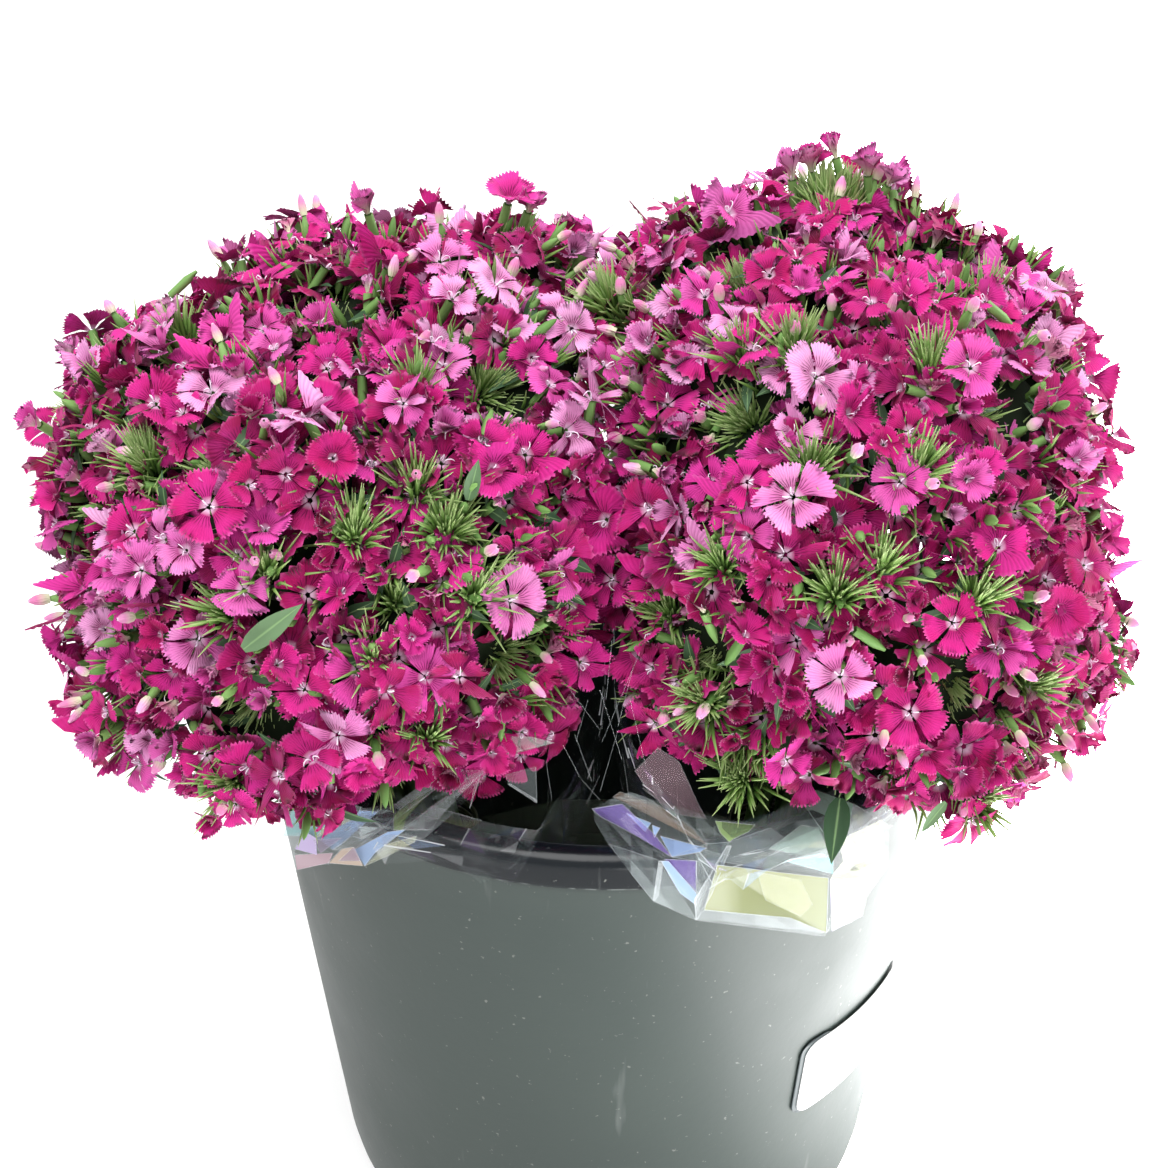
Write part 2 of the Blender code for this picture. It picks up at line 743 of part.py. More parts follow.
def stalk(bunch, head, rng):
    """A stem whose end flares and splits into needle-like bracts, one on each of its sides."""
    line = stem_points(bunch, head)
    axis = bunch.axis(head)
    line.append(line[-1] + axis * TUFT_BASE_R)
    radii = [STEM_R] * (len(line) - 1) + [TUFT_BASE_R]
    verts, faces = tube(line, radii, STEM_SIDES)
    stand_flat(verts, line[1] - line[0])
    faces.pop()
    crown = list(range(len(verts) - STEM_SIDES, len(verts)))
    middle = len(verts)
    verts.append(line[-1])
    for step in range(STEM_SIDES):
        low, high = crown[step], crown[(step + 1) % STEM_SIDES]
        spoke = (verts[low] + verts[high]) * 0.5 - line[-1]
        reach = TUFT_LENGTH * rng.uniform(*TUFT_LENGTHS)
        tip = line[-1] + axis * reach + spoke.normalized() * TUFT_FAN * rng.uniform(*TUFT_FANS)
        tip.x -= bunch.sign * min(0.0, room(tip, bunch.sign))
        verts.append(tip)
        point = len(verts) - 1
        faces += [(low, high, point), (high, middle, point), (middle, low, point)]
    return verts, faces


def stand_flat(verts, along):
    """Slide a stem's cut end along the stem until it is level."""
    level = FLOOR + GAP
    for index in range(STEM_SIDES):
        verts[index] = verts[index] - along * ((verts[index].z - level) / along.z)


def tree_of(verts, faces):
    return BVHTree.FromPolygons([tuple(v) for v in verts], faces)


def obstacle(obj):
    bm = bmesh.new()
    bm.from_mesh(obj.data)
    tree = BVHTree.FromBMesh(bm)
    bm.free()
    return tree


def fit_leaves(points, obstacles, rng):
    """Leaves on the upper stem, each turned and placed where it clears every neighbour."""
    solids = []
    for number in range(LEAVES_PER_STEM):
        for trial in range(LEAF_TRIALS):
            segment = rng.choice(LEAF_SEGMENTS)
            share = rng.uniform(0.1, 0.9)
            base = points[segment].lerp(points[segment + 1], share)
            along = (points[segment + 1] - points[segment]).normalized()
            u, v = perpendicular(along)
            angle = rng.uniform(0.0, 2.0 * math.pi)
            spoke = u * math.cos(angle) + v * math.sin(angle)
            splay = rng.uniform(*LEAF_SPLAY)
            heading = (along * math.cos(splay) + spoke * math.sin(splay)).normalized()
            up = along * math.sin(splay) - spoke * math.cos(splay)
            length = LEAF_LENGTH * rng.uniform(*LEAF_SIZES)
            blade = leaf(base + spoke * STEM_R * LEAF_ROOT, heading, up.normalized(), length)
            grown = tree_of(*swollen(blade, LEAF_CLEARANCE))
            if not any(grown.overlap(tree) for tree in obstacles):
                solids.append(blade)
                obstacles.append(tree_of(*blade))
                break
    return solids


def swollen(solid, margin):
    """A solid with its points moved out from its middle by a margin."""
    verts, faces = solid
    middle = sum(verts, Vector()) / len(verts)
    return [v + (v - middle).normalized() * margin for v in verts], faces


def build_stems(bunch, fixed):
    """One object a stem: the stalk, its leaves and its tuft of bracts."""
    rng = random.Random(SEED * 3 + int(bunch.sign))
    lines = [stem_points(bunch, head) for head in range(STEMS_PER_BUNCH)]
    stalks = [stalk(bunch, head, rng) for head in range(STEMS_PER_BUNCH)]
    stalk_trees = [tree_of(*tube(line, STEM_R + 2.0 * GAP, STEM_SIDES)) for line in lines]
    taken = [obstacle(obj) for obj in fixed]
    made = []
    for index, line in enumerate(lines):
        others = [tree for number, tree in enumerate(stalk_trees) if number != index]
        leaves = fit_leaves(line, taken + others, rng)
        taken += [tree_of(*blade) for blade in leaves]
        solids = [stalks[index]] + leaves
        made.append(combine(f"stem_{bunch.side}_{index + 1:02d}", solids, "stem"))
    return made


def build_water(bunches):
    """Water round the stems, with a plain slanted hole for each stem."""
    low_z = FLOOR + GAP
    low_r = inner_wall_r(FLOOR + FLOOR_ROUND) - WATER_ROUND
    mid_z = FLOOR + WATER_ROUND
    mid_r = inner_wall_r(mid_z) - WATER_GAP
    top_r = inner_wall_r(WATER_TOP) - WATER_GAP
    profile = ((0.0, low_z), (low_r, low_z), (mid_r, mid_z), (top_r, WATER_TOP), (0.0, WATER_TOP))
    solids = [lathe(profile, BUCKET_SIDES // 2, closed=False)]
    for bunch in bunches:
        for head in range(STEMS_PER_BUNCH):
            foot, tie = stem_points(bunch, head)[:2]
            along = (tie - foot).normalized()
            ends = [foot - along * WATER_ROUND, foot + along * (WATER_TOP + WATER_ROUND)]
            solids.append(tube(ends, STEM_R + WATER_HOLE, STEM_SIDES))
    return combine("water", solids, "water", "DIFFERENCE")


def build_tie(bunch):
    """A rubber band round the bundle."""
    inner = BUNDLE_TIE_R + STEM_R + TIE_GAP
    outer = inner + TIE_SIZE[0]
    half = TIE_SIZE[1] / 2.0
    profile = ((inner, -half), (outer, -half), (outer, half), (inner, half))
    rise = (bunch.centre - bunch.foot).normalized()
    ring = placed(lathe(profile, TIE_SIDES, closed=True), bunch.bundle_centre(TIE_Z), rise)
    return mesh_object(f"tie_{bunch.side}", ring, "tie")


def sleeve_section(bunch, ring, column):
    """Where a column of the film lies at a ring, before the wall stops it, and the wall's limit."""
    z, half_x, half_y = SLEEVE_RINGS[ring]
    angle = 2.0 * math.pi * (column + 0.5) / SLEEVE_COLUMNS
    middle = bunch.bundle_centre(z)
    if ring > 1:
        middle = Vector((bunch.sign * SLEEVE_CENTRE_X, bunch.centre.y, z))
    point = middle + squarish(half_x, half_y, angle, SLEEVE_POWER if ring > 1 else 2.0)
    point.x -= bunch.sign * min(0.0, room(point, bunch.sign, FILM))
    return point, inner_wall_r(min(z, SKIRT_Z)) - SLEEVE_WALL_GAP


def touches_wall(bunch, ring, column):
    point, limit = sleeve_section(bunch, ring, column)
    return math.hypot(point.x, point.y) > limit


def sleeve_point(bunch, column, ring):
    """A point of the film: up inside the bucket, then over its rim or standing free."""
    point, limit = sleeve_section(bunch, ring, column)
    radial = Vector((point.x, point.y, 0.0)).normalized()
    if ring < 3:
        inside = math.hypot(point.x, point.y) <= limit
        return point if inside else radial * limit + Vector((0.0, 0.0, point.z))
    if not touches_wall(bunch, 3, column):
        near_seam = max(0.0, 1.0 - abs(point.x) / SLEEVE_STAND_REACH)
        point.z += near_seam * SLEEVE_STAND * (ring - 3) / 2.0
        return point
    height = BUCKET_TOP + SLEEVE_OVER_TOP
    if ring == 5 and touches_wall(bunch, 3, column - 1) and touches_wall(bunch, 3, column + 1):
        height -= sleeve_hang(bunch, radial) + SLEEVE_DROP
    return radial * SLEEVE_OVER_RIM[ring - 3] + Vector((0.0, 0.0, height))


def squarish(half_x, half_y, angle, power):
    """A point of a superellipse."""
    cos, sin = math.cos(angle), math.sin(angle)
    x = half_x * math.copysign(abs(cos) ** (2.0 / power), cos)
    y = half_y * math.copysign(abs(sin) ** (2.0 / power), sin)
    return Vector((x, y, 0.0))


def sleeve_hang(bunch, radial):
    """How far the film's edge hangs down outside the rim in a direction."""
    middle, half_width, depth = SLEEVE_HANG[bunch.side]
    azimuth = math.degrees(math.atan2(radial.y, radial.x))
    share = abs(azimuth - middle) / half_width
    return depth * math.cos(min(share, 1.0) * math.pi / 2.0)


def build_sleeve(bunch):
    """A clear film cone, open at both ends, its top edge turned out over the rim."""
    rng = random.Random(SEED * 5 + int(bunch.sign))
    last = len(SLEEVE_RINGS) - 1
    verts = []
    for ring in range(last + 1):
        for column in range(SLEEVE_COLUMNS):
            point = sleeve_point(bunch, column, ring)
            crease = rng.uniform(-1.0, 1.0)
            if ring < 2:
                angle = 2.0 * math.pi * (column + 0.5) / SLEEVE_COLUMNS
                point += Vector((math.cos(angle), math.sin(angle), 0.0)) * SLEEVE_CREASE * crease
            verts.append(point)
    faces = []
    for ring in range(last):
        for column in range(SLEEVE_COLUMNS):
            after = (column + 1) % SLEEVE_COLUMNS
            a, b = ring * SLEEVE_COLUMNS + column, ring * SLEEVE_COLUMNS + after
            c, d = b + SLEEVE_COLUMNS, a + SLEEVE_COLUMNS
            faces += [(a, b, c), (a, c, d)]
    obj = mesh_object(f"sleeve_{bunch.side}", (verts, faces), "film")
    solid = obj.modifiers.new("film", "SOLIDIFY")
    solid.thickness = FILM
    solid.offset = 0.0
    apply_modifiers(obj)
    return obj


def centre_on_origin():
    """Move everything so that the bounding box is centred on x = 0, y = 0."""
    corners = [obj.matrix_world @ v.co for obj in bpy.context.scene.objects for v in obj.data.vertices]
    middle_x = (min(c.x for c in corners) + max(c.x for c in corners)) / 2.0
    middle_y = (min(c.y for c in corners) + max(c.y for c in corners)) / 2.0
    shift = Matrix.Translation((-middle_x, -middle_y, 0.0))
    for obj in bpy.context.scene.objects:
        obj.data.transform(shift)


def main():
    clear_scene()
    build_bucket()
    build_label()
    bunches = [Bunch(side) for side in SIDES]
    build_water(bunches)
    for bunch in bunches:
        build_tie(bunch)
        sleeve = build_sleeve(bunch)
        heads = build_heads(bunch)
        build_stems(bunch, heads + [sleeve])
    centre_on_origin()


main()
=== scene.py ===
"""The looks of a florist's bucket with two sleeved bunches of cut sweet william.

Metres, +Z up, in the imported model's frame. The front faces -Y and +X is to the right.
Every bloom, leaf and bract is a small mesh made in numpy and placed many times over.
"""

import math

import bmesh
import bpy
import numpy as np
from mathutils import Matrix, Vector
from mathutils.bvhtree import BVHTree


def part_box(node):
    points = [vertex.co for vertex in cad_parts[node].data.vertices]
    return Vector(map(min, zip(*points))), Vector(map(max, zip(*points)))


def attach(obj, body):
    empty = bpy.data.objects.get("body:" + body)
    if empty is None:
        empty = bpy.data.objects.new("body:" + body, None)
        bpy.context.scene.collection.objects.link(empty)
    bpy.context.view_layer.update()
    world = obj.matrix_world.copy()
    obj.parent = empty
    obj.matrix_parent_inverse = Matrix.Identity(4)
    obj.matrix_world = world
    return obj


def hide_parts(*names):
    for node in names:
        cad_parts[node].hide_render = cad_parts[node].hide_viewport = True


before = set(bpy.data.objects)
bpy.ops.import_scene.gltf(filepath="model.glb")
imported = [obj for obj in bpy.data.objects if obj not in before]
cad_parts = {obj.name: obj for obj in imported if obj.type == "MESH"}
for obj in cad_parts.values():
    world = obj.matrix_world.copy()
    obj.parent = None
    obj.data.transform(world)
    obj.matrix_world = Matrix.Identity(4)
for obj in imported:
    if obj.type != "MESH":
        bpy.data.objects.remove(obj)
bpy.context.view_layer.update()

SIDES = {"left": -1.0, "right": 1.0}
HEADS_PER_BUNCH = 12
SEED = 4
TURN = 2.0 * math.pi
UP = np.array((0.0, 0.0, 1.0))
TRIANGLE = [np.array(((0, 1, 2),))]
QUAD = [np.array(((0, 1, 2, 3),))]

# The bucket's axis and rim in this frame
BUCKET_LOW, BUCKET_HIGH = (np.array(corner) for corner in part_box("bucket"))
AXIS_X, AXIS_Y = (BUCKET_LOW[:2] + BUCKET_HIGH[:2]) / 2.0
AXIS = np.array((AXIS_X, AXIS_Y, 0.0))
BUCKET_TOP = BUCKET_HIGH[2]
RIM_OUTER_R = (BUCKET_HIGH[0] - BUCKET_LOW[0]) / 2.0
RIM_INNER_R = RIM_OUTER_R - 0.0100
SKIRT_Z = BUCKET_TOP - 0.013
BASE_R = 0.1035
WALL_SLOPE = 0.113

# Middle of each dome of flowers, from the bucket's axis
DOME_CENTRE = {"left": (-0.084, -0.008, 0.266), "right": (0.079, -0.008, 0.270)}

# Camera: fitted to the bucket's rim and walls in the photograph, whose pixels place some details
PHOTO_MIDDLE = 584.0
FOCAL_PIXELS = 2300.0
CAMERA_BACK = 0.697
CAMERA_SIDE = -0.0087
CAMERA_HEIGHT = 0.681
CAMERA_PLACE = np.array((AXIS_X + CAMERA_SIDE, AXIS_Y - CAMERA_BACK, CAMERA_HEIGHT))
CAMERA_PITCH = math.radians(31.95)
CAMERA_LENS = FOCAL_PIXELS / (2.0 * PHOTO_MIDDLE) * 36.0

# How the domes are sampled, and how far apart the flowers stand
RAYS = 9000
RAY_START = 0.30
ENVELOPE_ANGLE = math.radians(5.0)
ENVELOPE_SHARE = 72
BLOOM_SPACING = 0.0100
FILLER_SPACING = 0.0070
BLOOM_R = (0.0082, 0.0112)


class Pile:
    """Many small shapes gathered into one mesh, each point with four look values."""

    def __init__(self):
        self.points = []
        self.looks = []
        self.faces = {3: [], 4: []}
        self.count = 0

    def add(self, points, faces, looks):
        """Add a shape: (n, 3) points, a list of face index arrays and (n, 4) looks."""
        self.points.append(points)
        self.looks.append(looks)
        for group in faces:
            self.faces[group.shape[1]].append(group + self.count)
        self.count += len(points)

    def add_even(self, points, faces, tone=0.0, along=0.0, across=0.0, kind=0.0):
        """Add a shape whose points all have the same look."""
        self.add(points, faces, np.tile((tone, along, across, kind), (len(points), 1)))

    def mesh(self, name):
        mesh = bpy.data.meshes.new(name)
        points = np.concatenate(self.points)
        mesh.vertices.add(len(points))
        mesh.vertices.foreach_set("co", points.astype(np.float32).ravel())
        groups = [np.concatenate(parts) for parts in self.faces.values() if parts]
        sizes = np.concatenate([np.full(len(group), group.shape[1]) for group in groups])
        loops = np.concatenate([group.ravel() for group in groups])
        mesh.loops.add(len(loops))
        mesh.loops.foreach_set("vertex_index", loops.astype(np.int32))
        mesh.polygons.add(len(sizes))
        starts = np.concatenate(([0], np.cumsum(sizes)[:-1]))
        mesh.polygons.foreach_set("loop_start", starts.astype(np.int32))
        look = mesh.attributes.new("look", "FLOAT_COLOR", "POINT")
        look.data.foreach_set("color", np.concatenate(self.looks).astype(np.float32).ravel())
        mesh.update(calc_edges=True)
        mesh.validate()
        return mesh

    def piece(self, name, material, slot, replaced, smooth=True):
        """One object on the one body, which stands for a CAD node."""
        obj = bpy.data.objects.new(name, self.mesh(name))
        obj.data.materials.append(material)
        bpy.context.scene.collection.objects.link(obj)
        if smooth:
            obj.data.shade_smooth()
        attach(obj, "root")
        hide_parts(replaced)
        return obj


def grid_faces(rows, columns, closed=False):
    """Quads between the rows and columns of a grid of points, row by row."""
    wide = columns if closed else columns - 1
    row, column = np.meshgrid(np.arange(rows - 1), np.arange(wide), indexing="ij")
    row, column = row.ravel(), column.ravel()
    after = (column + 1) % columns
    return np.stack((row * columns + column, row * columns + after,
                     (row + 1) * columns + after, (row + 1) * columns + column), axis=1)


def unit(vectors):
    return vectors / np.maximum(np.linalg.norm(vectors, axis=-1, keepdims=True), 1e-12)


def unlike(heading):
    """An axis that stands well across a heading."""
    return UP if abs(heading[2]) < 0.9 else np.array((1.0, 0.0, 0.0))


def basis(normal, roll):
    """A 3 x 3 array of unit rows: two across a normal, turned by a roll, and the normal."""
    normal = unit(normal)
    side = unit(np.cross(unlike(normal), normal))
    other = np.cross(normal, side)
    u = side * math.cos(roll) + other * math.sin(roll)
    return np.stack((u, np.cross(normal, u), normal))


def smooth_step(low, high, x):
    t = np.clip((x - low) / (high - low), 0.0, 1.0)
    return t * t * (3.0 - 2.0 * t)


def swept(path, radii, sides):
    """Points of a tube along a path, ring by ring, and its faces."""
    path = np.asarray(path)
    along = unit(np.gradient(path, axis=0))
    u = unit(np.cross(along[0], unlike(along[0])))
    turns = TURN * np.arange(sides) / sides
    rings = []
    for point, heading, radius in zip(path, along, radii):
        u = unit(u - heading * np.dot(u, heading))
        v = np.cross(heading, u)
        rings.append(point + radius * (np.cos(turns)[:, None] * u + np.sin(turns)[:, None] * v))
    return np.concatenate(rings), grid_faces(len(path), sides, closed=True)


# Petals, in units of the bloom's radius: each shape opens from a base tilt to a tip tilt, and a bloom
# of that shape is sunk into the mass by a share of its radius
PETALS = 5
FINE = dict(rows=(0.0, 0.32, 0.64, 0.88), columns=6, teeth=2)
COARSE = dict(rows=(0.0, 0.50, 0.88), columns=5, teeth=1)
PETAL_TEETH = 0.125
PETAL_BASE_W = 0.045
PETAL_FAN_W = 0.56
THROAT_R = 0.05
PETAL_TWIST = 0.28
SHAPES = {
    "open": dict(base=46.0, tip=-16.0, width=1.0, cup=0.06,
                 length=1.0, wander=19.0, sunk=0.25, scale=1.0, back=False),
    "flat": dict(base=34.0, tip=2.0, width=1.04, cup=-0.12,
                 length=1.0, wander=17.0, sunk=0.25, scale=1.0, back=False),
    "bowl": dict(base=68.0, tip=18.0, width=1.0, cup=0.16,
                 length=1.0, wander=19.0, sunk=0.5, scale=0.92, back=False),
    "cup": dict(base=78.0, tip=48.0, width=0.92, cup=0.30,
                length=0.95, wander=17.0, sunk=0.75, scale=0.92, back=True),
    "funnel": dict(base=84.0, tip=60.0, width=0.66, cup=0.42,
                   length=1.0, wander=9.0, sunk=0.85, scale=0.92, back=True),
    "rosette": dict(base=86.0, tip=108.0, width=0.60, cup=0.60,
                    length=0.72, wander=14.0, sunk=0.55, scale=0.92, back=True),
}
VARIANTS = {"open": 9, "flat": 6, "bowl": 6, "cup": 5, "funnel": 4, "rosette": 4}
BACK_OFFSET = 0.015

# Looks are (tone, along, across, kind); kinds tell the material what a point belongs to
PETAL_FRONT, PETAL_BACK, STYLE = 0.0, 0.5, 1.0
NEEDLE, CALYX, STALK, LEAF, SHADE_CORE = 0.0, 0.25, 0.5, 0.75, 1.0


def petal_faces(detail):
    """Quads of a petal's grid, and the triangles of its toothed rim beyond the last row."""
    rows, columns = len(detail["rows"]), detail["columns"]
    rim = rows * columns
    last = rim - columns
    per = 2 * detail["teeth"]
    half = per // 2
    triangles = []
    for column in range(columns - 1):
        a, b, first = last + column, last + column + 1, rim + column * per
        triangles.append((a, b, first + half))
        triangles += [(a, first + step + 1, first + step) for step in range(half)]
        triangles += [(b, first + step + 1, first + step) for step in range(half, per)]
    return grid_faces(rows, columns), np.array(triangles)


def petal(shape, detail, rng):
    """One petal along +X with its own waves: points, and its along and across values."""
    rows, columns = detail["rows"], detail["columns"]
    rim_count = 2 * detail["teeth"] * (columns - 1) + 1
    notch = np.where(np.arange(rim_count) % 2 == 0, PETAL_TEETH, 0.0) * rng.uniform(0.4, 1.4, rim_count)
    along = np.concatenate((np.repeat(rows, columns), 1.0 - notch))
    across = np.concatenate((np.tile(np.linspace(-1.0, 1.0, columns), len(rows)),
                             np.linspace(-1.0, 1.0, rim_count)))
    lopsided = rng.uniform(-0.10, 0.10)
    edge = shape["length"] * (1.0 - 0.17 * np.abs(across) ** 2.4 + lopsided * across)
    edge *= rng.uniform(0.86, 1.08)
    run = along * (1.0 + (edge - 1.0) * along)
    wander = shape["wander"]
    base = math.radians(shape["base"] + wander * rng.uniform(-0.5, 0.5))
    tip = math.radians(shape["tip"] + wander * rng.normal())
    steps = np.linspace(0.0, 1.15, 47)
    tilt = base + (tip - base) * smooth_step(0.0, 0.85, steps)
    stride = steps[1]
    out = THROAT_R + np.interp(run, steps, np.cumsum(np.cos(tilt)) * stride)
    up = np.interp(run, steps, np.cumsum(np.sin(tilt)) * stride)
    turn = np.interp(run, steps, tilt)
    opened = np.clip((run - 0.12) / 0.78, 0.0, 1.1) ** 0.95
    fan = PETAL_BASE_W + (PETAL_FAN_W * shape["width"] - PETAL_BASE_W) * opened
    side = across * fan * (1.0 - 0.08 * along ** 6)
    phase = rng.uniform(0.0, TURN)
    ruffle = 0.030 * np.sin(4.2 * across + phase) * run ** 2
    ruffle += 0.014 * np.sin(9.5 * across + 2.0 * phase) * run ** 3
    twist = rng.normal() * PETAL_TWIST * across * smooth_step(0.15, 0.9, run)
    lift = shape["cup"] * across ** 2 * fan + ruffle + twist
    points = np.stack((out - lift * np.sin(turn), side, up + lift * np.cos(turn)), axis=1)
    return points, np.stack((along, across * 0.5 + 0.5), axis=1)


def bloom_template(kind, seed, detail):
    """Five petals round a throat at the origin, facing +Z, with their look values."""
    rng = np.random.default_rng(seed)
    shape = SHAPES[kind]
    quads, triangles = petal_faces(detail)
    points, values, faces, count = [], [], [], 0
    for index in range(PETALS):
        own, spot = petal(shape, detail, rng)
        turn = TURN * index / PETALS + rng.uniform(-0.13, 0.13)
        cos, sin = math.cos(turn), math.sin(turn)
        own = own @ np.array(((cos, sin, 0.0), (-sin, cos, 0.0), (0.0, 0.0, 1.0)))
        own[:, 2] += 0.02 * (index % 2)
        shade = rng.uniform(-1.0, 1.0)
        layers = (PETAL_FRONT, PETAL_BACK) if shape["back"] and detail is FINE else (PETAL_FRONT,)
        for layer in layers:
            shifted = own.copy()
            if layer == PETAL_BACK:
                shifted[:, :2] += unit(own[:, :2]) * BACK_OFFSET
                shifted[:, 2] -= BACK_OFFSET
            points.append(shifted)
            look = np.empty((len(own), 4))
            look[:, 0] = shade
            look[:, 1:3] = spot
            look[:, 3] = layer
            values.append(look)
            way = 1 if layer == PETAL_FRONT else -1
            faces += [quads[:, ::way] + count, triangles[:, ::way] + count]
            count += len(own)
    if kind != "rosette" and detail is FINE:
        for style in range(2):
            path, radii = curled_style(rng, style)
            tube_points, tube_faces = swept(path, radii, 3)
            look = np.zeros((len(tube_points), 4))
            look[:, 1] = np.repeat(np.linspace(0.0, 1.0, len(path)), 3)
            look[:, 3] = STYLE
            points.append(tube_points)
            values.append(look)
            faces.append(tube_faces + count)
            count += len(tube_points)
    return np.concatenate(points), np.concatenate(values), faces


def curled_style(rng, which):
    """A thin white style that rises out of the throat and curls over."""
    turn = rng.uniform(0.0, TURN) + which * 2.2
    steps = np.linspace(0.0, 1.0, 7)
    length = rng.uniform(0.45, 0.75)
    curl = rng.uniform(2.2, 4.4)
    angle = math.radians(78.0) - curl * smooth_step(0.35, 1.0, steps)
    pieces = length / len(steps)
    out = 0.03 + np.cumsum(np.cos(angle)) * pieces
    up = -0.05 + np.cumsum(np.sin(angle)) * pieces
    sway = rng.uniform(-0.10, 0.10) * steps ** 2
    cos, sin = math.cos(turn), math.sin(turn)
    path = np.stack((out * cos - sway * sin, out * sin + sway * cos, up), axis=1)
    return path, 0.028 * (1.0 - 0.45 * steps)


def place(pile, template, where, axes, size, tone, jitter=0.0):
    """Add a template at a place, with its +Z along the third axis, and shift its tone."""
    points, values, faces = template
    looks = values.copy()
    looks[:, 0] = tone + looks[:, 0] * jitter
    pile.add(points * size @ axes + where, faces, looks)


def fibonacci(count):
    """Unit directions spread evenly over a sphere."""
    index = np.arange(count) + 0.5
    z = 1.0 - 2.0 * index / count
    turn = math.pi * (1.0 + math.sqrt(5.0)) * index
    level = np.sqrt(1.0 - z * z)
    return np.stack((level * np.cos(turn), level * np.sin(turn), z), axis=1)


class Dome:
    """The outer surface of one bunch's flower heads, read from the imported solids."""

    def __init__(self, side):
        self.side = side
        offset = DOME_CENTRE[side]
        self.centre = np.array((AXIS_X + offset[0], AXIS_Y + offset[1], offset[2]))
        self.names = [f"{side}_{number:02d}" for number in range(1, HEADS_PER_BUNCH + 1)]
        tree, owner_of_face = self.tree()
        rays = fibonacci(RAYS)
        directions, distances, owners = [], [], []
        for ray in rays:
            hit, _, face, _ = tree.ray_cast(Vector(self.centre + ray * RAY_START), Vector(-ray))
            if hit is not None and (hit - Vector(self.centre)).dot(Vector(ray)) > 0.02:
                directions.append(ray)
                distances.append(float(np.linalg.norm(np.array(hit) - self.centre)))
                owners.append(owner_of_face[face])
        self.directions = np.array(directions)
        self.reach, self.owners = self.envelope(np.array(distances), np.array(owners))
        self.points = self.centre + self.directions * self.reach[:, None]
        self.swell()
        self.axes = np.array([self.head_axis(head) for head in range(HEADS_PER_BUNCH)])

    def tree(self):
        points, faces, owners = [], [], []
        for index, name in enumerate(self.names):
            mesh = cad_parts["head_" + name].data
            start = len(points)
            points += [v.co.copy() for v in mesh.vertices]
            for polygon in mesh.polygons:
                faces.append([start + corner for corner in polygon.vertices])
                owners.append(index)
        return BVHTree.FromPolygons(points, faces), owners

    def envelope(self, distances, owners):
        """Bridge the gaps between the solids' florets, and give each direction its head."""
        near = math.cos(ENVELOPE_ANGLE)
        reach = np.empty(len(distances))
        owned = np.empty(len(distances), int)
        for index, direction in enumerate(self.directions):
            close = self.directions @ direction > near
            reach[index] = np.percentile(distances[close], ENVELOPE_SHARE)
            owned[index] = np.bincount(owners[close], minlength=HEADS_PER_BUNCH).argmax()
        return reach, owned

    def swell(self):
        """Move the surface out or in where the photograph's mass does."""
        moved = self.points.copy()
        for middle, reach, push in SWELLS[self.side]:
            apart = np.linalg.norm(self.points - AXIS - np.array(middle), axis=1)
            moved += np.exp(-(apart / reach) ** 2)[:, None] * np.array(push)
        self.points = moved
        self.directions = unit(self.points - self.centre)

    def head_axis(self, head):
        return unit(self.points[self.owners == head].mean(axis=0) - self.centre)


def scatter(points, spacing, rng, taken=()):
    """Indices of points no closer to each other, or to those taken, than a spacing."""
    kept = []
    held = list(taken)
    for index in rng.permutation(len(points)):
        point = points[index]
        if not held or np.min(np.sum((np.array(held) - point) ** 2, axis=1)) > spacing ** 2:
            held.append(point)
            kept.append(index)
    return np.array(kept)


# Stems: where the neck lies between the dome's middle and the head's crown, and the radius
NECK_SHARE = 0.50
STEM_R = 0.0022

# Where the mass of blooms swells past the solids or draws in: middle, reach and push, from the bucket's axis
SWELLS = {
    "left": (
        ((-0.170, 0.00, 0.320), 0.038, (-0.009, 0.000, 0.002)),
        ((-0.150, -0.03, 0.210), 0.030, (0.006, 0.000, 0.005)),
        ((0.000, -0.05, 0.345), 0.030, (0.004, 0.000, 0.014)),
        ((0.000, 0.01, 0.350), 0.034, (0.004, 0.000, 0.016)),
        ((0.000, 0.07, 0.345), 0.034, (0.004, 0.000, 0.016)),
        ((-0.020, 0.02, 0.365), 0.014, (0.000, 0.000, 0.004)),
        ((-0.107, -0.09, 0.215), 0.020, (0.000, -0.002, -0.008)),
    ),
    "right": (
        ((0.172, 0.00, 0.305), 0.045, (-0.007, 0.000, 0.000)),
        ((0.165, -0.03, 0.235), 0.036, (0.010, 0.000, -0.002)),
        ((0.125, -0.09, 0.220), 0.036, (0.003, -0.004, -0.009)),
        ((0.110, 0.04, 0.375), 0.030, (0.000, 0.000, -0.005)),
        ((0.077, 0.03, 0.385), 0.014, (0.000, 0.000, 0.005)),
        ((0.000, -0.05, 0.345), 0.030, (-0.004, 0.000, 0.014)),
        ((0.000, 0.01, 0.350), 0.034, (-0.004, 0.000, 0.016)),
        ((0.000, 0.07, 0.345), 0.034, (-0.004, 0.000, 0.016)),
    ),
}

# Green patches that the photograph shows among the blooms: pixel and radius in metres
PATCHES = {
    "left": (
        (130, 445, 0.012), (500, 275, 0.008), (455, 510, 0.015), (350, 520, 0.010), (215, 610, 0.010),
        (480, 590, 0.014), (420, 470, 0.008), (225, 785, 0.011), (435, 740, 0.007), (395, 590, 0.009),
        (170, 320, 0.006), (250, 565, 0.007), (375, 645, 0.006), (560, 620, 0.006), (415, 370, 0.006),
    ),
    "right": (
        (605, 280, 0.014), (795, 325, 0.013), (815, 455, 0.011), (920, 450, 0.009), (965, 465, 0.008),
        (700, 700, 0.014), (740, 785, 0.015), (660, 600, 0.010), (835, 585, 0.011), (990, 590, 0.009),
        (1075, 610, 0.011), (1050, 680, 0.010), (985, 800, 0.010), (826, 196, 0.011), (720, 545, 0.008),
        (640, 690, 0.009), (995, 280, 0.006), (740, 340, 0.006), (940, 355, 0.006),
        (890, 540, 0.007), (610, 380, 0.007),
    ),
}
PATCH_CLUMPS = 7
PATCH_NEEDLES = 9
PATCH_SHARE = 0.74
BRUSH_SCALE = 0.0150

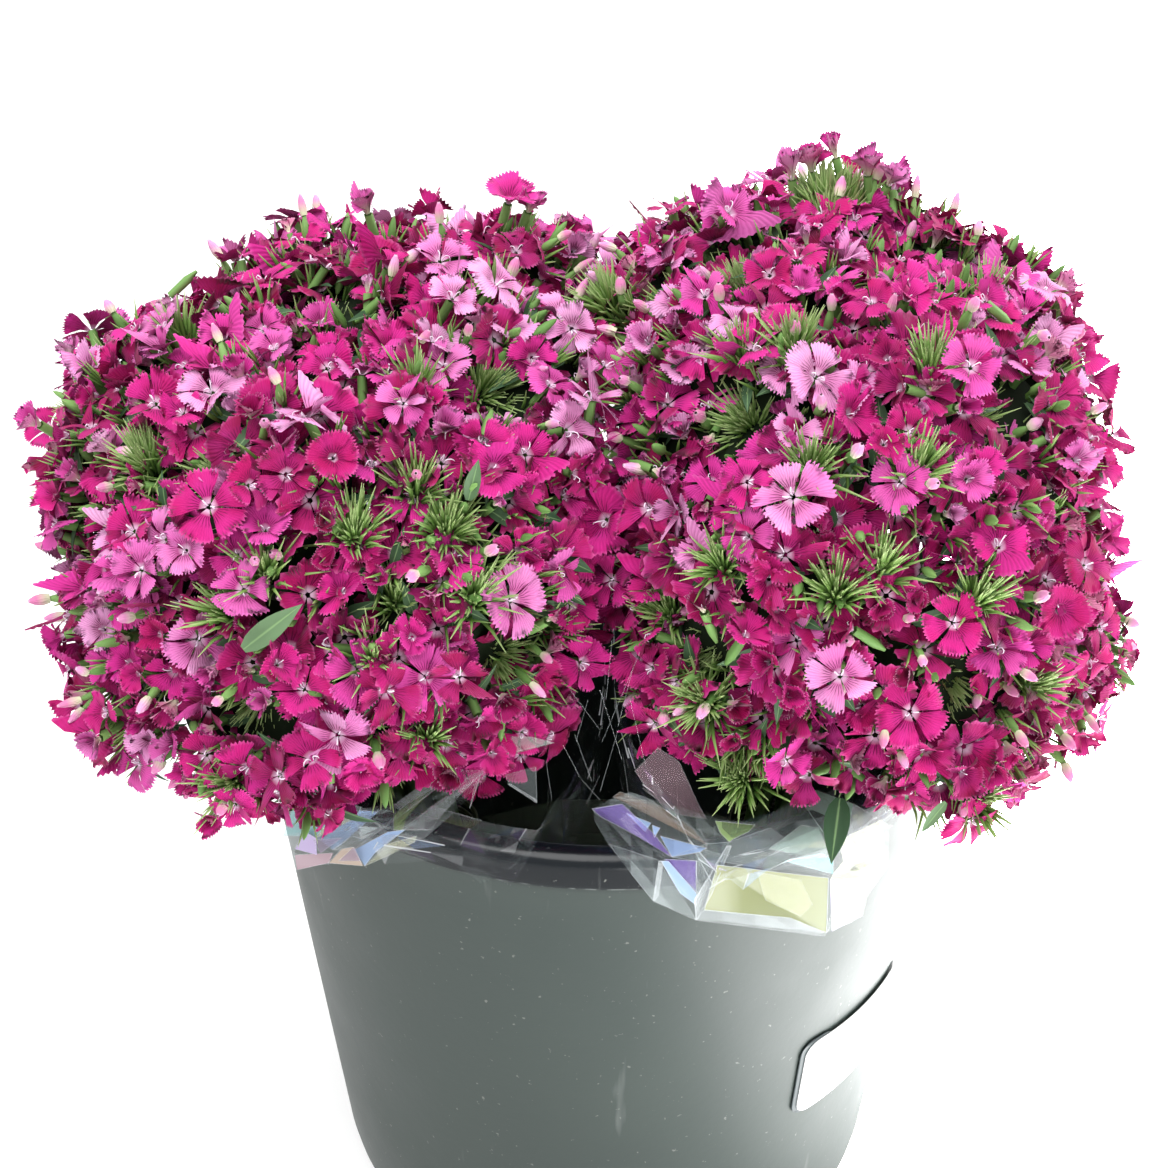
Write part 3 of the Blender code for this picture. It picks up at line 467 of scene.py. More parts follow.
# What grows on a dome, in metres and degrees
BLOOM_LOWEST = -0.50
BLOOM_LIFT = (-0.0075, 0.0020)
BLOOM_TILT = 24.0
BLOOM_FAN = 0.35
BLOOM_UP = 0.28
# Painted light: blooms are made paler higher up and towards the left
PAINTED_LIGHT_UP = 2.0
PAINTED_LIGHT_LEFT = 2.2
PAINTED_LIGHT_LEFT_FROM = 0.10
HEAD_TONE = 0.12
CALYX_LENGTH = 0.013
CALYX_R = 0.0017
CORE_DEPTH = 0.0165
NEEDLE_LENGTH = (0.008, 0.013)
NEEDLE_R = 0.00062
FILLER_NEEDLES = 5
TUFT_LENGTH = 0.016
TUFT_NEEDLES = 150
TUFT_BLOOM_GAP = 0.0125
DEEP_SPACING = 0.0150
DEEP_LIFT = (-0.0125, -0.0085)
DEEP_LEAF_SPACING = 0.0105
KINDS = (("open", 0.34), ("flat", 0.17), ("bowl", 0.19), ("cup", 0.12), ("funnel", 0.10), ("rosette", 0.08))


def make_templates():
    found = {}
    for kind, count in VARIANTS.items():
        seeds = [SEED + 31 * number + 7 * len(kind) for number in range(count)]
        found[kind] = [bloom_template(kind, seed, FINE) for seed in seeds]
    found["deep"] = [bloom_template("flat", SEED + 500 + number, COARSE) for number in range(5)]
    return found


def add_green(pile, shape, tone, kind, along=None):
    """Add a green shape whose look runs from base to tip."""
    points, faces = shape
    looks = np.empty((len(points), 4))
    looks[:, 0] = tone
    looks[:, 1] = np.linspace(0.0, 1.0, len(points)) if along is None else along
    looks[:, 2] = 0.5
    looks[:, 3] = kind
    pile.add(points, [faces], looks)


def add_needle(pile, base, tip, bend, radius, tone):
    """Add a thin three-sided bract that bends a little on its way from base to tip."""
    path = np.stack((base, (base + tip) / 2.0 + bend, tip))
    shape = swept(path, (radius, radius * 0.8, radius * 0.12), 3)
    add_green(pile, shape, tone, NEEDLE, np.repeat((0.0, 0.5, 1.0), 3))


def tilted(normal, degrees, rng):
    """A normal tipped by a random angle."""
    axes = basis(normal, rng.uniform(0.0, TURN))
    angle = math.radians(degrees) * rng.normal()
    return unit(axes[2] * math.cos(angle) + axes[0] * math.sin(angle))


def calyx(where, normal, length, radius):
    """A green tube under a bloom, with a narrow foot."""
    steps = np.array((0.0, 0.35, 1.0))
    path = where - normal * (length * (1.0 - steps))[:, None]
    return swept(path, (radius * 0.35, radius, radius * 0.95), 5)


def bud_shape(where, normal, length, radius, closed):
    """A closed bud: a plump calyx that narrows to a point."""
    steps = np.array((0.0, 0.25, 0.6, 0.88, 1.0))
    path = where + normal * (length * (steps - 0.5))[:, None]
    girth = np.array((0.35, 0.95, 0.85, 0.45, 0.05 if closed else 0.2))
    return swept(path, radius * girth, 6)


def leaf_shape(base, along, up, length, width, droop):
    """A lance leaf folded a little along its midrib: points, faces and looks."""
    rows, columns = 9, 5
    steps = np.linspace(0.0, 1.0, rows)
    along, up = unit(along), unit(up - along * np.dot(up, along))
    side = np.cross(along, up)
    heading = along[None, :] * np.cos(droop * steps)[:, None] - up[None, :] * np.sin(droop * steps)[:, None]
    spine = base + np.cumsum(heading, axis=0) * (length / rows)
    girth = width / 2.0 * (0.35 + 0.65 * np.sin(np.pi * steps ** 0.7)) * (1.0 - steps ** 5 * 0.96)
    across = np.linspace(-1.0, 1.0, columns)
    points = spine[:, None, :] + side * (girth[:, None] * across)[:, :, None]
    points += up * (np.abs(across) * girth[:, None] * 0.45)[:, :, None]
    looks = np.empty((rows, columns, 4))
    looks[:, :, 1] = steps[:, None]
    looks[:, :, 2] = across[None, :] * 0.5 + 0.5
    looks[:, :, 3] = LEAF
    return points.reshape(-1, 3), grid_faces(rows, columns), looks.reshape(-1, 4)


def add_leaf(pile, rng, base, along, up, length, width, droop, tone=0.5):
    points, faces, looks = leaf_shape(base, along, up, length, width, droop)
    looks[:, 0] = tone + rng.uniform(-0.15, 0.15)
    pile.add(points, [faces], looks)


def stem_path(dome, name, head_axis, crown):
    """A stem's centre line from its foot on the bucket's floor up into its head."""
    solid = np.array([v.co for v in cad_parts["stem_" + name].data.vertices])
    foot = solid[np.argsort(solid[:, 2])[:5]].mean(axis=0)
    low, high = (np.array(corner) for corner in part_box("tie_" + dome.side))
    near_tie = np.argsort(np.abs(solid[:, 2] - (low[2] + high[2]) / 2.0))[:5]
    tie = solid[near_tie].mean(axis=0)
    neck = dome.centre + (crown - dome.centre) * NECK_SHARE
    span = np.linalg.norm(neck - tie)
    first = tie + unit(dome.centre - foot) * span * 0.5
    second = neck - head_axis * span * 0.3
    steps = np.linspace(0.0, 1.0, 9)[:, None]
    curve = ((1 - steps) ** 3 * tie + 3 * (1 - steps) ** 2 * steps * first
             + 3 * (1 - steps) * steps ** 2 * second + steps ** 3 * neck)
    return np.concatenate((foot[None, :], curve, (crown - head_axis * 0.0135)[None, :]))


def shade_core_hull(points, centre, depth):
    """A dark mound under one head's blooms, painted shade in the gaps between them: its faces and points."""
    solid = bmesh.new()
    for point in points:
        heading = unit(point - centre)
        solid.verts.new(point - heading * depth)
    solid.verts.new(centre + (points.mean(axis=0) - centre) * 0.42)
    hull = bmesh.ops.convex_hull(solid, input=solid.verts)
    loose = [item for item in hull["geom_interior"] if isinstance(item, bmesh.types.BMVert)]
    bmesh.ops.delete(solid, geom=loose, context="VERTS")
    bmesh.ops.triangulate(solid, faces=solid.faces)
    solid.verts.index_update()
    found = np.array([v.co for v in solid.verts])
    faces = np.array([[v.index for v in face.verts] for face in solid.faces])
    solid.free()
    return found, faces


def choose_kind(rng):
    draw = rng.random()
    for kind, share in KINDS:
        draw -= share
        if draw < 0.0:
            return kind
    return KINDS[0][0]


def pixel_ray(x, y):
    """The camera's place and the direction through one of the photograph's pixels."""
    forward = np.array((0.0, math.cos(CAMERA_PITCH), -math.sin(CAMERA_PITCH)))
    up = np.array((0.0, math.sin(CAMERA_PITCH), math.cos(CAMERA_PITCH)))
    right = np.array((1.0, 0.0, 0.0))
    ray = forward + right * (x - PHOTO_MIDDLE) / FOCAL_PIXELS + up * (PHOTO_MIDDLE - y) / FOCAL_PIXELS
    return CAMERA_PLACE, unit(ray)


def add_bud_tip(pile, where, normal, radius, rng):
    """The pale twisted petals that come out of a bud's calyx."""
    steps = np.array((0.0, 0.35, 0.7, 1.0))
    lean = tilted(normal, 18.0, rng)
    path = where + lean * (rng.uniform(0.005, 0.008) * steps)[:, None]
    points, faces = swept(path, radius * np.array((0.80, 1.1, 0.85, 0.25)), 6)
    looks = np.empty((len(points), 4))
    looks[:, 0] = rng.uniform(0.5, 1.0)
    looks[:, 1] = np.repeat(steps, 6)
    looks[:, 2] = np.tile(np.arange(6) / 6.0, len(steps))
    looks[:, 3] = PETAL_BACK
    pile.add(points, [faces], looks)


class Bunch:
    """One bunch: its dome, and the blooms and greens gathered for each of its heads."""

    def __init__(self, side, templates):
        self.side = side
        self.templates = templates
        self.dome = Dome(side)
        self.rng = np.random.default_rng(SEED + len(side))
        self.blooms = [Pile() for _ in range(HEADS_PER_BUNCH)]
        self.greens = [Pile() for _ in range(HEADS_PER_BUNCH)]
        self.crowns = [self.crown(head) for head in range(HEADS_PER_BUNCH)]
        self.upper = np.flatnonzero(self.dome.directions[:, 2] > BLOOM_LOWEST)
        self.patches = [(self.seen_at(x, y), radius * PATCH_SHARE) for x, y, radius in PATCHES[side]]
        self.leaves, self.sprigs, self.brushes = (
            [entry[1:] for entry in entries if entry[0] == side] for entries in (LEAVES, SPRIGS, BRUSHES))

    def crown(self, head):
        """The point of a head's surface that its axis goes through."""
        own = self.dome.points[self.dome.owners == head]
        apart = np.linalg.norm(own - self.dome.centre, axis=1)
        return own[np.argmax((own - self.dome.centre) @ self.dome.axes[head] / apart)]

    def seen_at(self, x, y):
        """Index of the dome's point that the photograph's pixel looks at."""
        eye, ray = pixel_ray(x, y)
        ahead = (self.dome.points - eye) @ ray
        apart = np.linalg.norm(self.dome.points - eye - ahead[:, None] * ray, axis=1)
        apart[self.dome.directions @ ray > 0.1] += 1.0
        return int(np.argmin(apart))

    def grows(self, site, head, lift=0.0):
        """Which way something at a site grows: away from its head's axis, and lifted a little."""
        radial = self.dome.directions[site]
        return unit(radial + (radial - self.dome.axes[head]) * BLOOM_FAN + UP * lift)

    def open_sites(self):
        """Where blooms may stand: clear of the tufts, the green patches and the listed sprigs and leaves."""
        points = self.dome.points
        taken = [(crown, TUFT_BLOOM_GAP) for crown in self.crowns]
        taken += [(points[self.seen_at(x, y)], SPRIG_CLEARING) for x, y, *_ in self.sprigs]
        for root, tip, *_ in self.leaves:
            root, tip = np.array(root), np.array(tip)
            taken += [(points[self.seen_at(*(root + (tip - root) * share))], LEAF_CLEARING)
                      for share in (0.15, 0.5, 0.85)]
        taken += [(points[spot], radius) for spot, radius in self.patches]
        fit = self.dome.directions[:, 2] > BLOOM_LOWEST
        for middle, clearing in taken:
            fit &= np.linalg.norm(points - middle, axis=1) > clearing
        return np.flatnonzero(fit)

    def add_blooms(self):
        """Open blooms, paler towards the top and the left by painted light. Returns where they stand."""
        dome, rng = self.dome, self.rng
        where = self.open_sites()
        sites = where[scatter(dome.points[where], BLOOM_SPACING, rng)]
        head_tone = rng.uniform(-HEAD_TONE, HEAD_TONE, HEADS_PER_BUNCH)
        for site in sites:
            head = dome.owners[site]
            normal = tilted(self.grows(site, head, BLOOM_UP), BLOOM_TILT, rng)
            point = dome.points[site] + dome.directions[site] * rng.uniform(*BLOOM_LIFT)
            kind = choose_kind(rng)
            template = self.templates[kind][rng.integers(len(self.templates[kind]))]
            size = rng.uniform(*BLOOM_R) * SHAPES[kind]["scale"]
            sunk = SHAPES[kind]["sunk"]
            axes = basis(normal, rng.uniform(0.0, TURN))
            # The tone holds painted light, paler higher up and further left
            tone = 0.41 + head_tone[head] + 0.28 * rng.normal() + PAINTED_LIGHT_UP * (point[2] - dome.centre[2])
            tone += PAINTED_LIGHT_LEFT * max(0.0, AXIS_X - PAINTED_LIGHT_LEFT_FROM - point[0])
            place(self.blooms[head], template, point - normal * size * sunk, axes, size,
                  np.clip(tone, 0.0, 1.0), 0.06)
            foot = calyx(point - normal * size * (sunk + 0.02), normal, CALYX_LENGTH, CALYX_R)
            add_green(self.greens[head], foot, rng.uniform(0.3, 0.8), CALYX)
        return dome.points[sites]

    def add_deep(self):
        """Plainer blooms and short leaves that close the view between the open blooms, with dark tones as
        painted shade.
        """
        dome, rng = self.dome, self.rng
        deep = self.templates["deep"]
        for site in self.upper[scatter(dome.points[self.upper], DEEP_SPACING, rng)]:
            radial = dome.directions[site]
            template = deep[rng.integers(len(deep))]
            axes = basis(tilted(radial, BLOOM_TILT, rng), rng.uniform(0.0, TURN))
            point = dome.points[site] + radial * rng.uniform(*DEEP_LIFT)
            # Low tones: painted shade deep in the mass
            place(self.blooms[dome.owners[site]], template, point, axes, BLOOM_R[1],
                  rng.uniform(0.0, 0.35), 0.05)
        for site in self.upper[scatter(dome.points[self.upper], DEEP_LEAF_SPACING, rng)]:
            radial = dome.directions[site]
            turned = basis(radial, rng.uniform(0.0, TURN))
            root = dome.points[site] - radial * rng.uniform(0.011, 0.015)
            # A dark tone: painted shade
            add_leaf(self.greens[dome.owners[site]], rng, root, turned[0] + radial * 0.45, radial,
                     rng.uniform(0.012, 0.018), rng.uniform(0.003, 0.005), rng.uniform(0.2, 0.8), 0.15)

    def add_fillers(self, taken):
        """Buds and bracts between the blooms."""
        dome, rng = self.dome, self.rng
        fillers = np.flatnonzero(dome.directions[:, 2] > BLOOM_LOWEST - 0.12)
        for site in fillers[scatter(dome.points[fillers], FILLER_SPACING, rng, taken)]:
            head = dome.owners[site]
            radial = dome.directions[site]
            normal = tilted(self.grows(site, head), 16.0, rng)
            point = dome.points[site] - radial * rng.uniform(0.001, 0.006)
            draw = rng.random()
            if draw < 0.35:
                radius = rng.uniform(0.0014, 0.0020)
                bud = bud_shape(point, normal, rng.uniform(0.008, 0.011), radius, draw < 0.2)
                add_green(self.greens[head], bud, rng.uniform(0.2, 0.9), CALYX)
                if draw >= 0.2:
                    add_bud_tip(self.blooms[head], point + normal * 0.004, normal, radius, rng)
            for _ in range(FILLER_NEEDLES):
                heading = tilted(normal, 26.0, rng)
                base = point - radial * 0.007 + (heading - normal) * 0.004
                length = rng.uniform(*NEEDLE_LENGTH)
                bend = tilted(normal, 60.0, rng) * length * 0.05
                add_needle(self.greens[head], base, base + heading * length, bend, NEEDLE_R,
                           rng.uniform(0.2, 1.0))

    def add_patch(self, spot, radius):
        """Bracts and unopened buds where no bloom has opened yet."""
        dome, rng, head = self.dome, self.rng, self.dome.owners[spot]
        near = np.flatnonzero(np.linalg.norm(dome.points - dome.points[spot], axis=1) < radius)
        upright = unit(dome.directions[spot] + UP * 0.9)
        self.add_tuft(head, dome.points[spot] + upright * 0.002, upright, min(1.0, radius / BRUSH_SCALE))
        for _ in range(int(PATCH_CLUMPS * (radius / 0.010) ** 2)):
            site = rng.choice(near)
            radial = dome.directions[site]
            normal = tilted(self.grows(site, head), 18.0, rng)
            point = dome.points[site] - radial * rng.uniform(0.002, 0.007)
            if rng.random() < 0.55:
                girth = rng.uniform(0.0013, 0.0021)
                length = rng.uniform(0.006, 0.010)
                bud = bud_shape(point, normal, length, girth, True)
                add_green(self.greens[head], bud, rng.uniform(0.3, 1.0), CALYX)
                if rng.random() < 0.16:
                    add_bud_tip(self.blooms[head], point + normal * length * 0.35, normal, girth, rng)
            for _ in range(PATCH_NEEDLES):
                heading = tilted(normal, 30.0, rng)
                base = point - radial * 0.006 + (heading - normal) * 0.005
                length = rng.uniform(*NEEDLE_LENGTH)
                bend = (normal - heading) * length * 0.1
                add_needle(self.greens[head], base, base + heading * length, bend, NEEDLE_R,
                           rng.uniform(0.3, 1.0))

    def add_tuft(self, head, crown, axis, share=1.0):
        """The fan of bright bracts at the middle of a head."""
        rng = self.rng
        base = crown - axis * TUFT_LENGTH * 0.75
        for _ in range(int(TUFT_NEEDLES * share * 1.15)):
            heading = tilted(axis, 27.0, rng)
            length = TUFT_LENGTH * rng.uniform(0.6, 1.12)
            start = base + (heading - axis) * 0.006
            bend = (heading - axis) * length * -0.12
            add_needle(self.greens[head], start, start + heading * length, bend, NEEDLE_R * 1.25,
                       rng.uniform(0.5, 1.0))

    def add_placed_leaf(self, root, tip, width, droop, tone):
        """A leaf that grows out of the blooms at one pixel and ends before another, facing the camera."""
        site = self.seen_at(*root)
        eye, ray = pixel_ray(*root)
        start = self.dome.points[site] + ray * 0.002
        far = (self.dome.points[self.seen_at(*tip)] - eye) @ ray
        along = eye + pixel_ray(*tip)[1] * (far - 0.006) - start
        add_leaf(self.greens[self.dome.owners[site]], self.rng, start, along, -ray,
                 np.linalg.norm(along) * 1.1, width, droop, tone)

    def add_brush(self, x, y):
        """A tuft of bracts that stands before the mass at one of the photograph's pixels."""
        site = self.seen_at(x, y)
        eye, ray = pixel_ray(x, y)
        crown = eye + ray * ((self.dome.points[site] - eye) @ ray)
        self.add_tuft(self.dome.owners[site], crown, unit(crown - self.dome.centre))

    def add_sprig(self, x, y, kind, size, tone):
        """A bloom that stands before the mass on its own stalk, at one of the photograph's pixels."""
        site = self.seen_at(x, y)
        head, radial, foot = self.dome.owners[site], self.dome.directions[site], self.dome.points[site]
        eye, ray = pixel_ray(x, y)
        where = eye + ray * ((foot - eye) @ ray - 0.003)
        normal = unit(unit(where - foot + radial * 0.006) + radial - ray * 0.6)
        axes = basis(normal, self.rng.uniform(0.0, TURN))
        variants = self.templates[kind]
        place(self.blooms[head], variants[self.rng.integers(len(variants))], where, axes, size, tone, 0.05)
        add_green(self.greens[head], calyx(where, normal, CALYX_LENGTH, CALYX_R), 0.7, CALYX)
        stalk = np.stack((foot - radial * 0.012, where - normal * CALYX_LENGTH))
        add_green(self.greens[head], swept(stalk, (0.0008, 0.0008), 5), 0.5, STALK)

    def add_head(self, head, name):
        """A head's own tuft, its dark core of painted shade and its stem with leaves."""
        dome, rng, greens = self.dome, self.rng, self.greens[head]
        axis, crown = dome.axes[head], self.crowns[head]
        self.add_tuft(head, crown, axis)
        core = shade_core_hull(dome.points[dome.owners == head][::3], dome.centre, CORE_DEPTH)
        add_green(greens, core, 0.2, SHADE_CORE, 0.0)
        path = stem_path(dome, name, axis, crown)
        add_green(greens, swept(path, np.full(len(path), STEM_R), 7), 0.5, STALK,
                  np.repeat(np.linspace(0.0, 1.0, len(path)), 7))
        for pair, step in enumerate((5, 7)):
            turn = rng.uniform(0.0, math.pi) + pair * math.pi / 2.0
            axes = basis(unit(path[step + 1] - path[step]), turn)
            for way in (-1.0, 1.0):
                add_leaf(greens, rng, path[step], axes[0] * way + axes[2] * 0.9, axes[2],
                         rng.uniform(0.034, 0.046), rng.uniform(0.008, 0.011), rng.uniform(0.3, 1.1))

    def build(self, petal_look, green_look):
        taken = self.add_blooms()
        self.add_deep()
        self.add_fillers(taken)
        for patch in self.patches:
            self.add_patch(*patch)
        for leaf in self.leaves:
            self.add_placed_leaf(*leaf)
        for brush in self.brushes:
            self.add_brush(*brush)
        for sprig in self.sprigs:
            self.add_sprig(*sprig)
        for head, name in enumerate(self.dome.names):
            self.add_head(head, name)
            self.blooms[head].piece("blooms_" + name, petal_look, "petals", "head_" + name)
            self.greens[head].piece("greens_" + name, green_look, "greens", "stem_" + name)


class Look:
    """A Principled material with short ways to add and join its nodes."""

    def __init__(self, name, **sockets):
        self.material = bpy.data.materials.new(name)
        self.material.use_nodes = True
        self.tree = self.material.node_tree
        self.shader = self.tree.nodes["Principled BSDF"]
        for socket, value in sockets.items():
            self.shader.inputs[socket.replace("_", " ")].default_value = value

    def node(self, kind, inputs=None, **settings):
        node = self.tree.nodes.new(kind)
        for key, value in settings.items():
            setattr(node, key, value)
        for key, value in (inputs or {}).items():
            self.feed(node.inputs[key], value)
        return node

    def feed(self, socket, value):
        if isinstance(value, bpy.types.NodeSocket):
            self.tree.links.new(value, socket)
        else:
            socket.default_value = value

    def set(self, socket, value):
        self.feed(self.shader.inputs[socket], value)

    def math(self, operation, first, second=0.0):
        return self.node("ShaderNodeMath", {0: first, 1: second}, operation=operation).outputs[0]

    def times(self, first, second):
        return self.math("MULTIPLY", first, second)

    def above(self, value, level):
        return self.math("GREATER_THAN", value, level)

    def coordinate(self, axis):
        """A point's own x, y or z."""
        source = self.node("ShaderNodeTexCoord").outputs["Object"]
        return self.node("ShaderNodeSeparateXYZ", {"Vector": source}).outputs[axis]

    def between(self, value, low, high):
        """How far a value has come from one level to another."""
        return self.node("ShaderNodeMapRange", {"Value": value, "From Min": low, "From Max": high}).outputs[0]

    def mix(self, factor, first, second):
        node = self.node("ShaderNodeMix", data_type="RGBA", blend_type="MIX")
        self.feed(node.inputs["Factor"], factor)
        self.feed(node.inputs[6], first)
        self.feed(node.inputs[7], second)
        return node.outputs[2]

    def ramp(self, value, stops):
        node = self.node("ShaderNodeValToRGB", {"Fac": value})
        ramp = node.color_ramp
        ramp.interpolation = "LINEAR"
        while len(ramp.elements) < len(stops):
            ramp.elements.new(1.0)
        for element, (position, colour) in zip(ramp.elements, stops):
            element.position = position
            element.color = (*colour, 1.0)
        return node.outputs["Color"]

    def band(self, value, stops):
        """A ramp of grey values, as (position, level) pairs."""
        return self.ramp(value, [(position, (level, level, level)) for position, level in stops])

    def noise(self, scale, detail=3.0, roughness=0.55, stretch=(1.0, 1.0, 1.0)):
        source = self.node("ShaderNodeTexCoord").outputs["Object"]
        mapping = self.node("ShaderNodeMapping", {"Vector": source, "Scale": stretch}).outputs[0]
        inputs = {"Vector": mapping, "Scale": scale, "Detail": detail, "Roughness": roughness}
        return self.node("ShaderNodeTexNoise", inputs).outputs["Fac"]

    def bump(self, height, strength, distance=0.001):
        inputs = {"Height": height, "Strength": strength, "Distance": distance}
        self.set("Normal", self.node("ShaderNodeBump", inputs).outputs[0])

    def look(self):
        """The four look values of a point: tone, along, across and kind."""
        source = self.node("ShaderNodeAttribute", attribute_name="look", attribute_type="GEOMETRY")
        parts = self.node("ShaderNodeSeparateColor", {"Color": source.outputs["Color"]})
        return parts.outputs[0], parts.outputs[1], parts.outputs[2], source.outputs["Alpha"]


def petal_material():
    look = Look("sweet_william_petal", Roughness=0.70, Specular_IOR_Level=0.12, Sheen_Weight=0.05)
    tone, along, across, kind = look.look()
    body = look.ramp(tone, (
        (0.00, (0.170, 0.001, 0.032)),
        (0.25, (0.330, 0.003, 0.082)),
        (0.50, (0.470, 0.008, 0.155)),
        (0.70, (0.510, 0.030, 0.245)),
        (0.84, (0.530, 0.115, 0.350)),
        (1.00, (0.630, 0.310, 0.530)),
    ))
    lines = look.math("SINE", look.times(across, 75.0))
    # Painted shade: the front darkens towards the throat
    shade = look.times(look.band(along, ((0.15, 1.0), (0.75, 0.0))), 0.55)
    front = look.mix(shade, body, (0.22, 0.0, 0.06, 1.0))
    veins = look.times(look.above(lines, 0.3), 0.20)
    front = look.mix(veins, front, (0.20, 0.0, 0.07, 1.0))
    blotch = look.band(look.noise(110.0, 2.0), ((0.35, 0.0), (0.70, 1.0)))
    front = look.mix(look.times(blotch, 0.22), front, (0.66, 0.05, 0.40, 1.0))
    streaks = look.above(look.math("SINE", look.times(across, 38.0)), 0.45)
    ring = look.band(along, ((0.17, 0.0), (0.24, 1.0), (0.44, 0.9), (0.56, 0.0)))
    streaks = look.times(look.times(streaks, ring), 0.8)
    front = look.mix(streaks, front, (0.075, 0.0, 0.03, 1.0))
    # Painted highlight: a paler band along the petal's toothed edge
    rim = look.band(along, ((0.86, 0.0), (0.97, 1.0)))
    front = look.mix(look.times(rim, 0.22), front, (0.70, 0.22, 0.50, 1.0))
    throat = look.band(along, ((0.06, 1.0), (0.22, 0.0)))
    front = look.mix(look.times(throat, 0.75), front, (0.62, 0.45, 0.58, 1.0))
    pale = look.mix(0.42, body, (0.74, 0.42, 0.58, 1.0))
    base = look.band(along, ((0.10, 1.0), (0.62, 0.0)))
    back = look.mix(base, pale, (0.60, 0.62, 0.42, 1.0))
    lip = look.band(along, ((0.90, 0.0), (1.0, 1.0)))
    back = look.mix(look.times(lip, 0.5), back, (0.85, 0.70, 0.80, 1.0))
    colour = look.mix(look.above(kind, 0.25), front, back)
    colour = look.mix(look.above(kind, 0.75), colour, (0.80, 0.68, 0.80, 1.0))
    look.set("Base Color", colour)
    look.bump(lines, 0.35, 0.0002)
    return look.material


def green_material():
    look = Look("sweet_william_green", Specular_IOR_Level=0.20)
    tone, along, across, kind = look.look()
    dark = ((0.0, (0.024, 0.055, 0.012)), (0.55, (0.085, 0.17, 0.034)), (1.0, (0.27, 0.36, 0.13)))
    light = ((0.0, (0.06, 0.13, 0.025)), (0.5, (0.20, 0.35, 0.08)), (1.0, (0.46, 0.57, 0.27)))
    dark, light = look.ramp(along, dark), look.ramp(along, light)
    bract = look.mix(look.times(tone, 0.85), dark, light)
    calyx = look.mix(tone, (0.070, 0.160, 0.035, 1.0), (0.20, 0.36, 0.11, 1.0))
    mottled = look.noise(180.0)
    stalk = look.mix(mottled, (0.12, 0.23, 0.06, 1.0), (0.22, 0.36, 0.13, 1.0))
    midrib = look.band(across, ((0.43, 0.0), (0.5, 1.0), (0.57, 0.0)))
    blade = look.mix(tone, (0.030, 0.070, 0.032, 1.0), (0.120, 0.200, 0.100, 1.0))
    leaf = look.mix(look.times(midrib, 0.6), blade, (0.26, 0.42, 0.18, 1.0))
    colour = look.mix(look.above(kind, 0.12), bract, calyx)
    colour = look.mix(look.above(kind, 0.37), colour, stalk)
    colour = look.mix(look.above(kind, 0.62), colour, leaf)
    # Painted shade: the cores are near-black
    colour = look.mix(look.above(kind, 0.87), colour, (0.006, 0.012, 0.004, 1.0))
    look.set("Base Color", colour)
    look.set("Roughness", look.band(kind, ((0.8, 0.55), (0.9, 1.0))))
    look.bump(look.noise(700.0), 0.2, 0.0003)
    return look.material


def bucket_material():
    look = Look("black_bucket_plastic", Specular_IOR_Level=0.28)
    height = look.coordinate(2)
    # Painted shade: the rim is coloured near-black, darker than the wall of the same plastic, for the shade
    # and dark reflection of the flowers above
    rim = look.between(height, SKIRT_Z - 0.004, SKIRT_Z + 0.002)
    cloud = look.noise(14.0, 5.0)
    wall = look.mix(cloud, (0.025, 0.036, 0.033, 1.0), (0.047, 0.061, 0.054, 1.0))
    colour = look.mix(rim, wall, (0.002, 0.004, 0.006, 1.0))
    specks = look.band(look.noise(420.0, 2.0), ((0.70, 0.0), (0.76, 1.0)))
    colour = look.mix(look.times(specks, 0.35), colour, (0.30, 0.31, 0.28, 1.0))
    lip = look.between(look.math("ABSOLUTE", look.math("SUBTRACT", height, SKIRT_Z)), 0.0012, 0.0004)
    scuffs = look.band(look.noise(150.0, 4.0), ((0.48, 0.0), (0.60, 1.0)))
    scuffs = look.times(look.times(lip, scuffs), 0.6)
    colour = look.mix(scuffs, colour, (0.34, 0.37, 0.36, 1.0))
    scratches = look.band(look.noise(90.0, 3.0, 0.6, (1.0, 1.0, 0.06)), ((0.66, 0.0), (0.74, 1.0)))
    colour = look.mix(look.times(scratches, 0.18), colour, (0.28, 0.30, 0.29, 1.0))
    look.set("Base Color", colour)
    worn = look.band(cloud, ((0.3, 0.42), (0.7, 0.56)))
    look.set("Roughness", look.mix(rim, worn, (0.24, 0.24, 0.24, 1.0)))
    look.bump(look.noise(260.0, 4.0), 0.15, 0.0004)
    return look.material


def mottled_material(name, roughness, scale, dark, light, grain, strength):
    """A surface that wavers between two colours, with a fine grain."""
    look = Look(name, Roughness=roughness)
    look.set("Base Color", look.mix(look.noise(scale), (*dark, 1.0), (*light, 1.0)))
    look.bump(look.noise(grain), strength, 0.0002)
    return look.material


def water_material():
    look = Look("vase_water", Roughness=0.04, IOR=1.333, Transmission_Weight=0.85)
    look.set("Base Color", look.mix(look.noise(30.0), (0.42, 0.52, 0.40, 1.0), (0.62, 0.70, 0.58, 1.0)))
    look.bump(look.noise(45.0, 2.0), 0.15, 0.001)
    return look.material


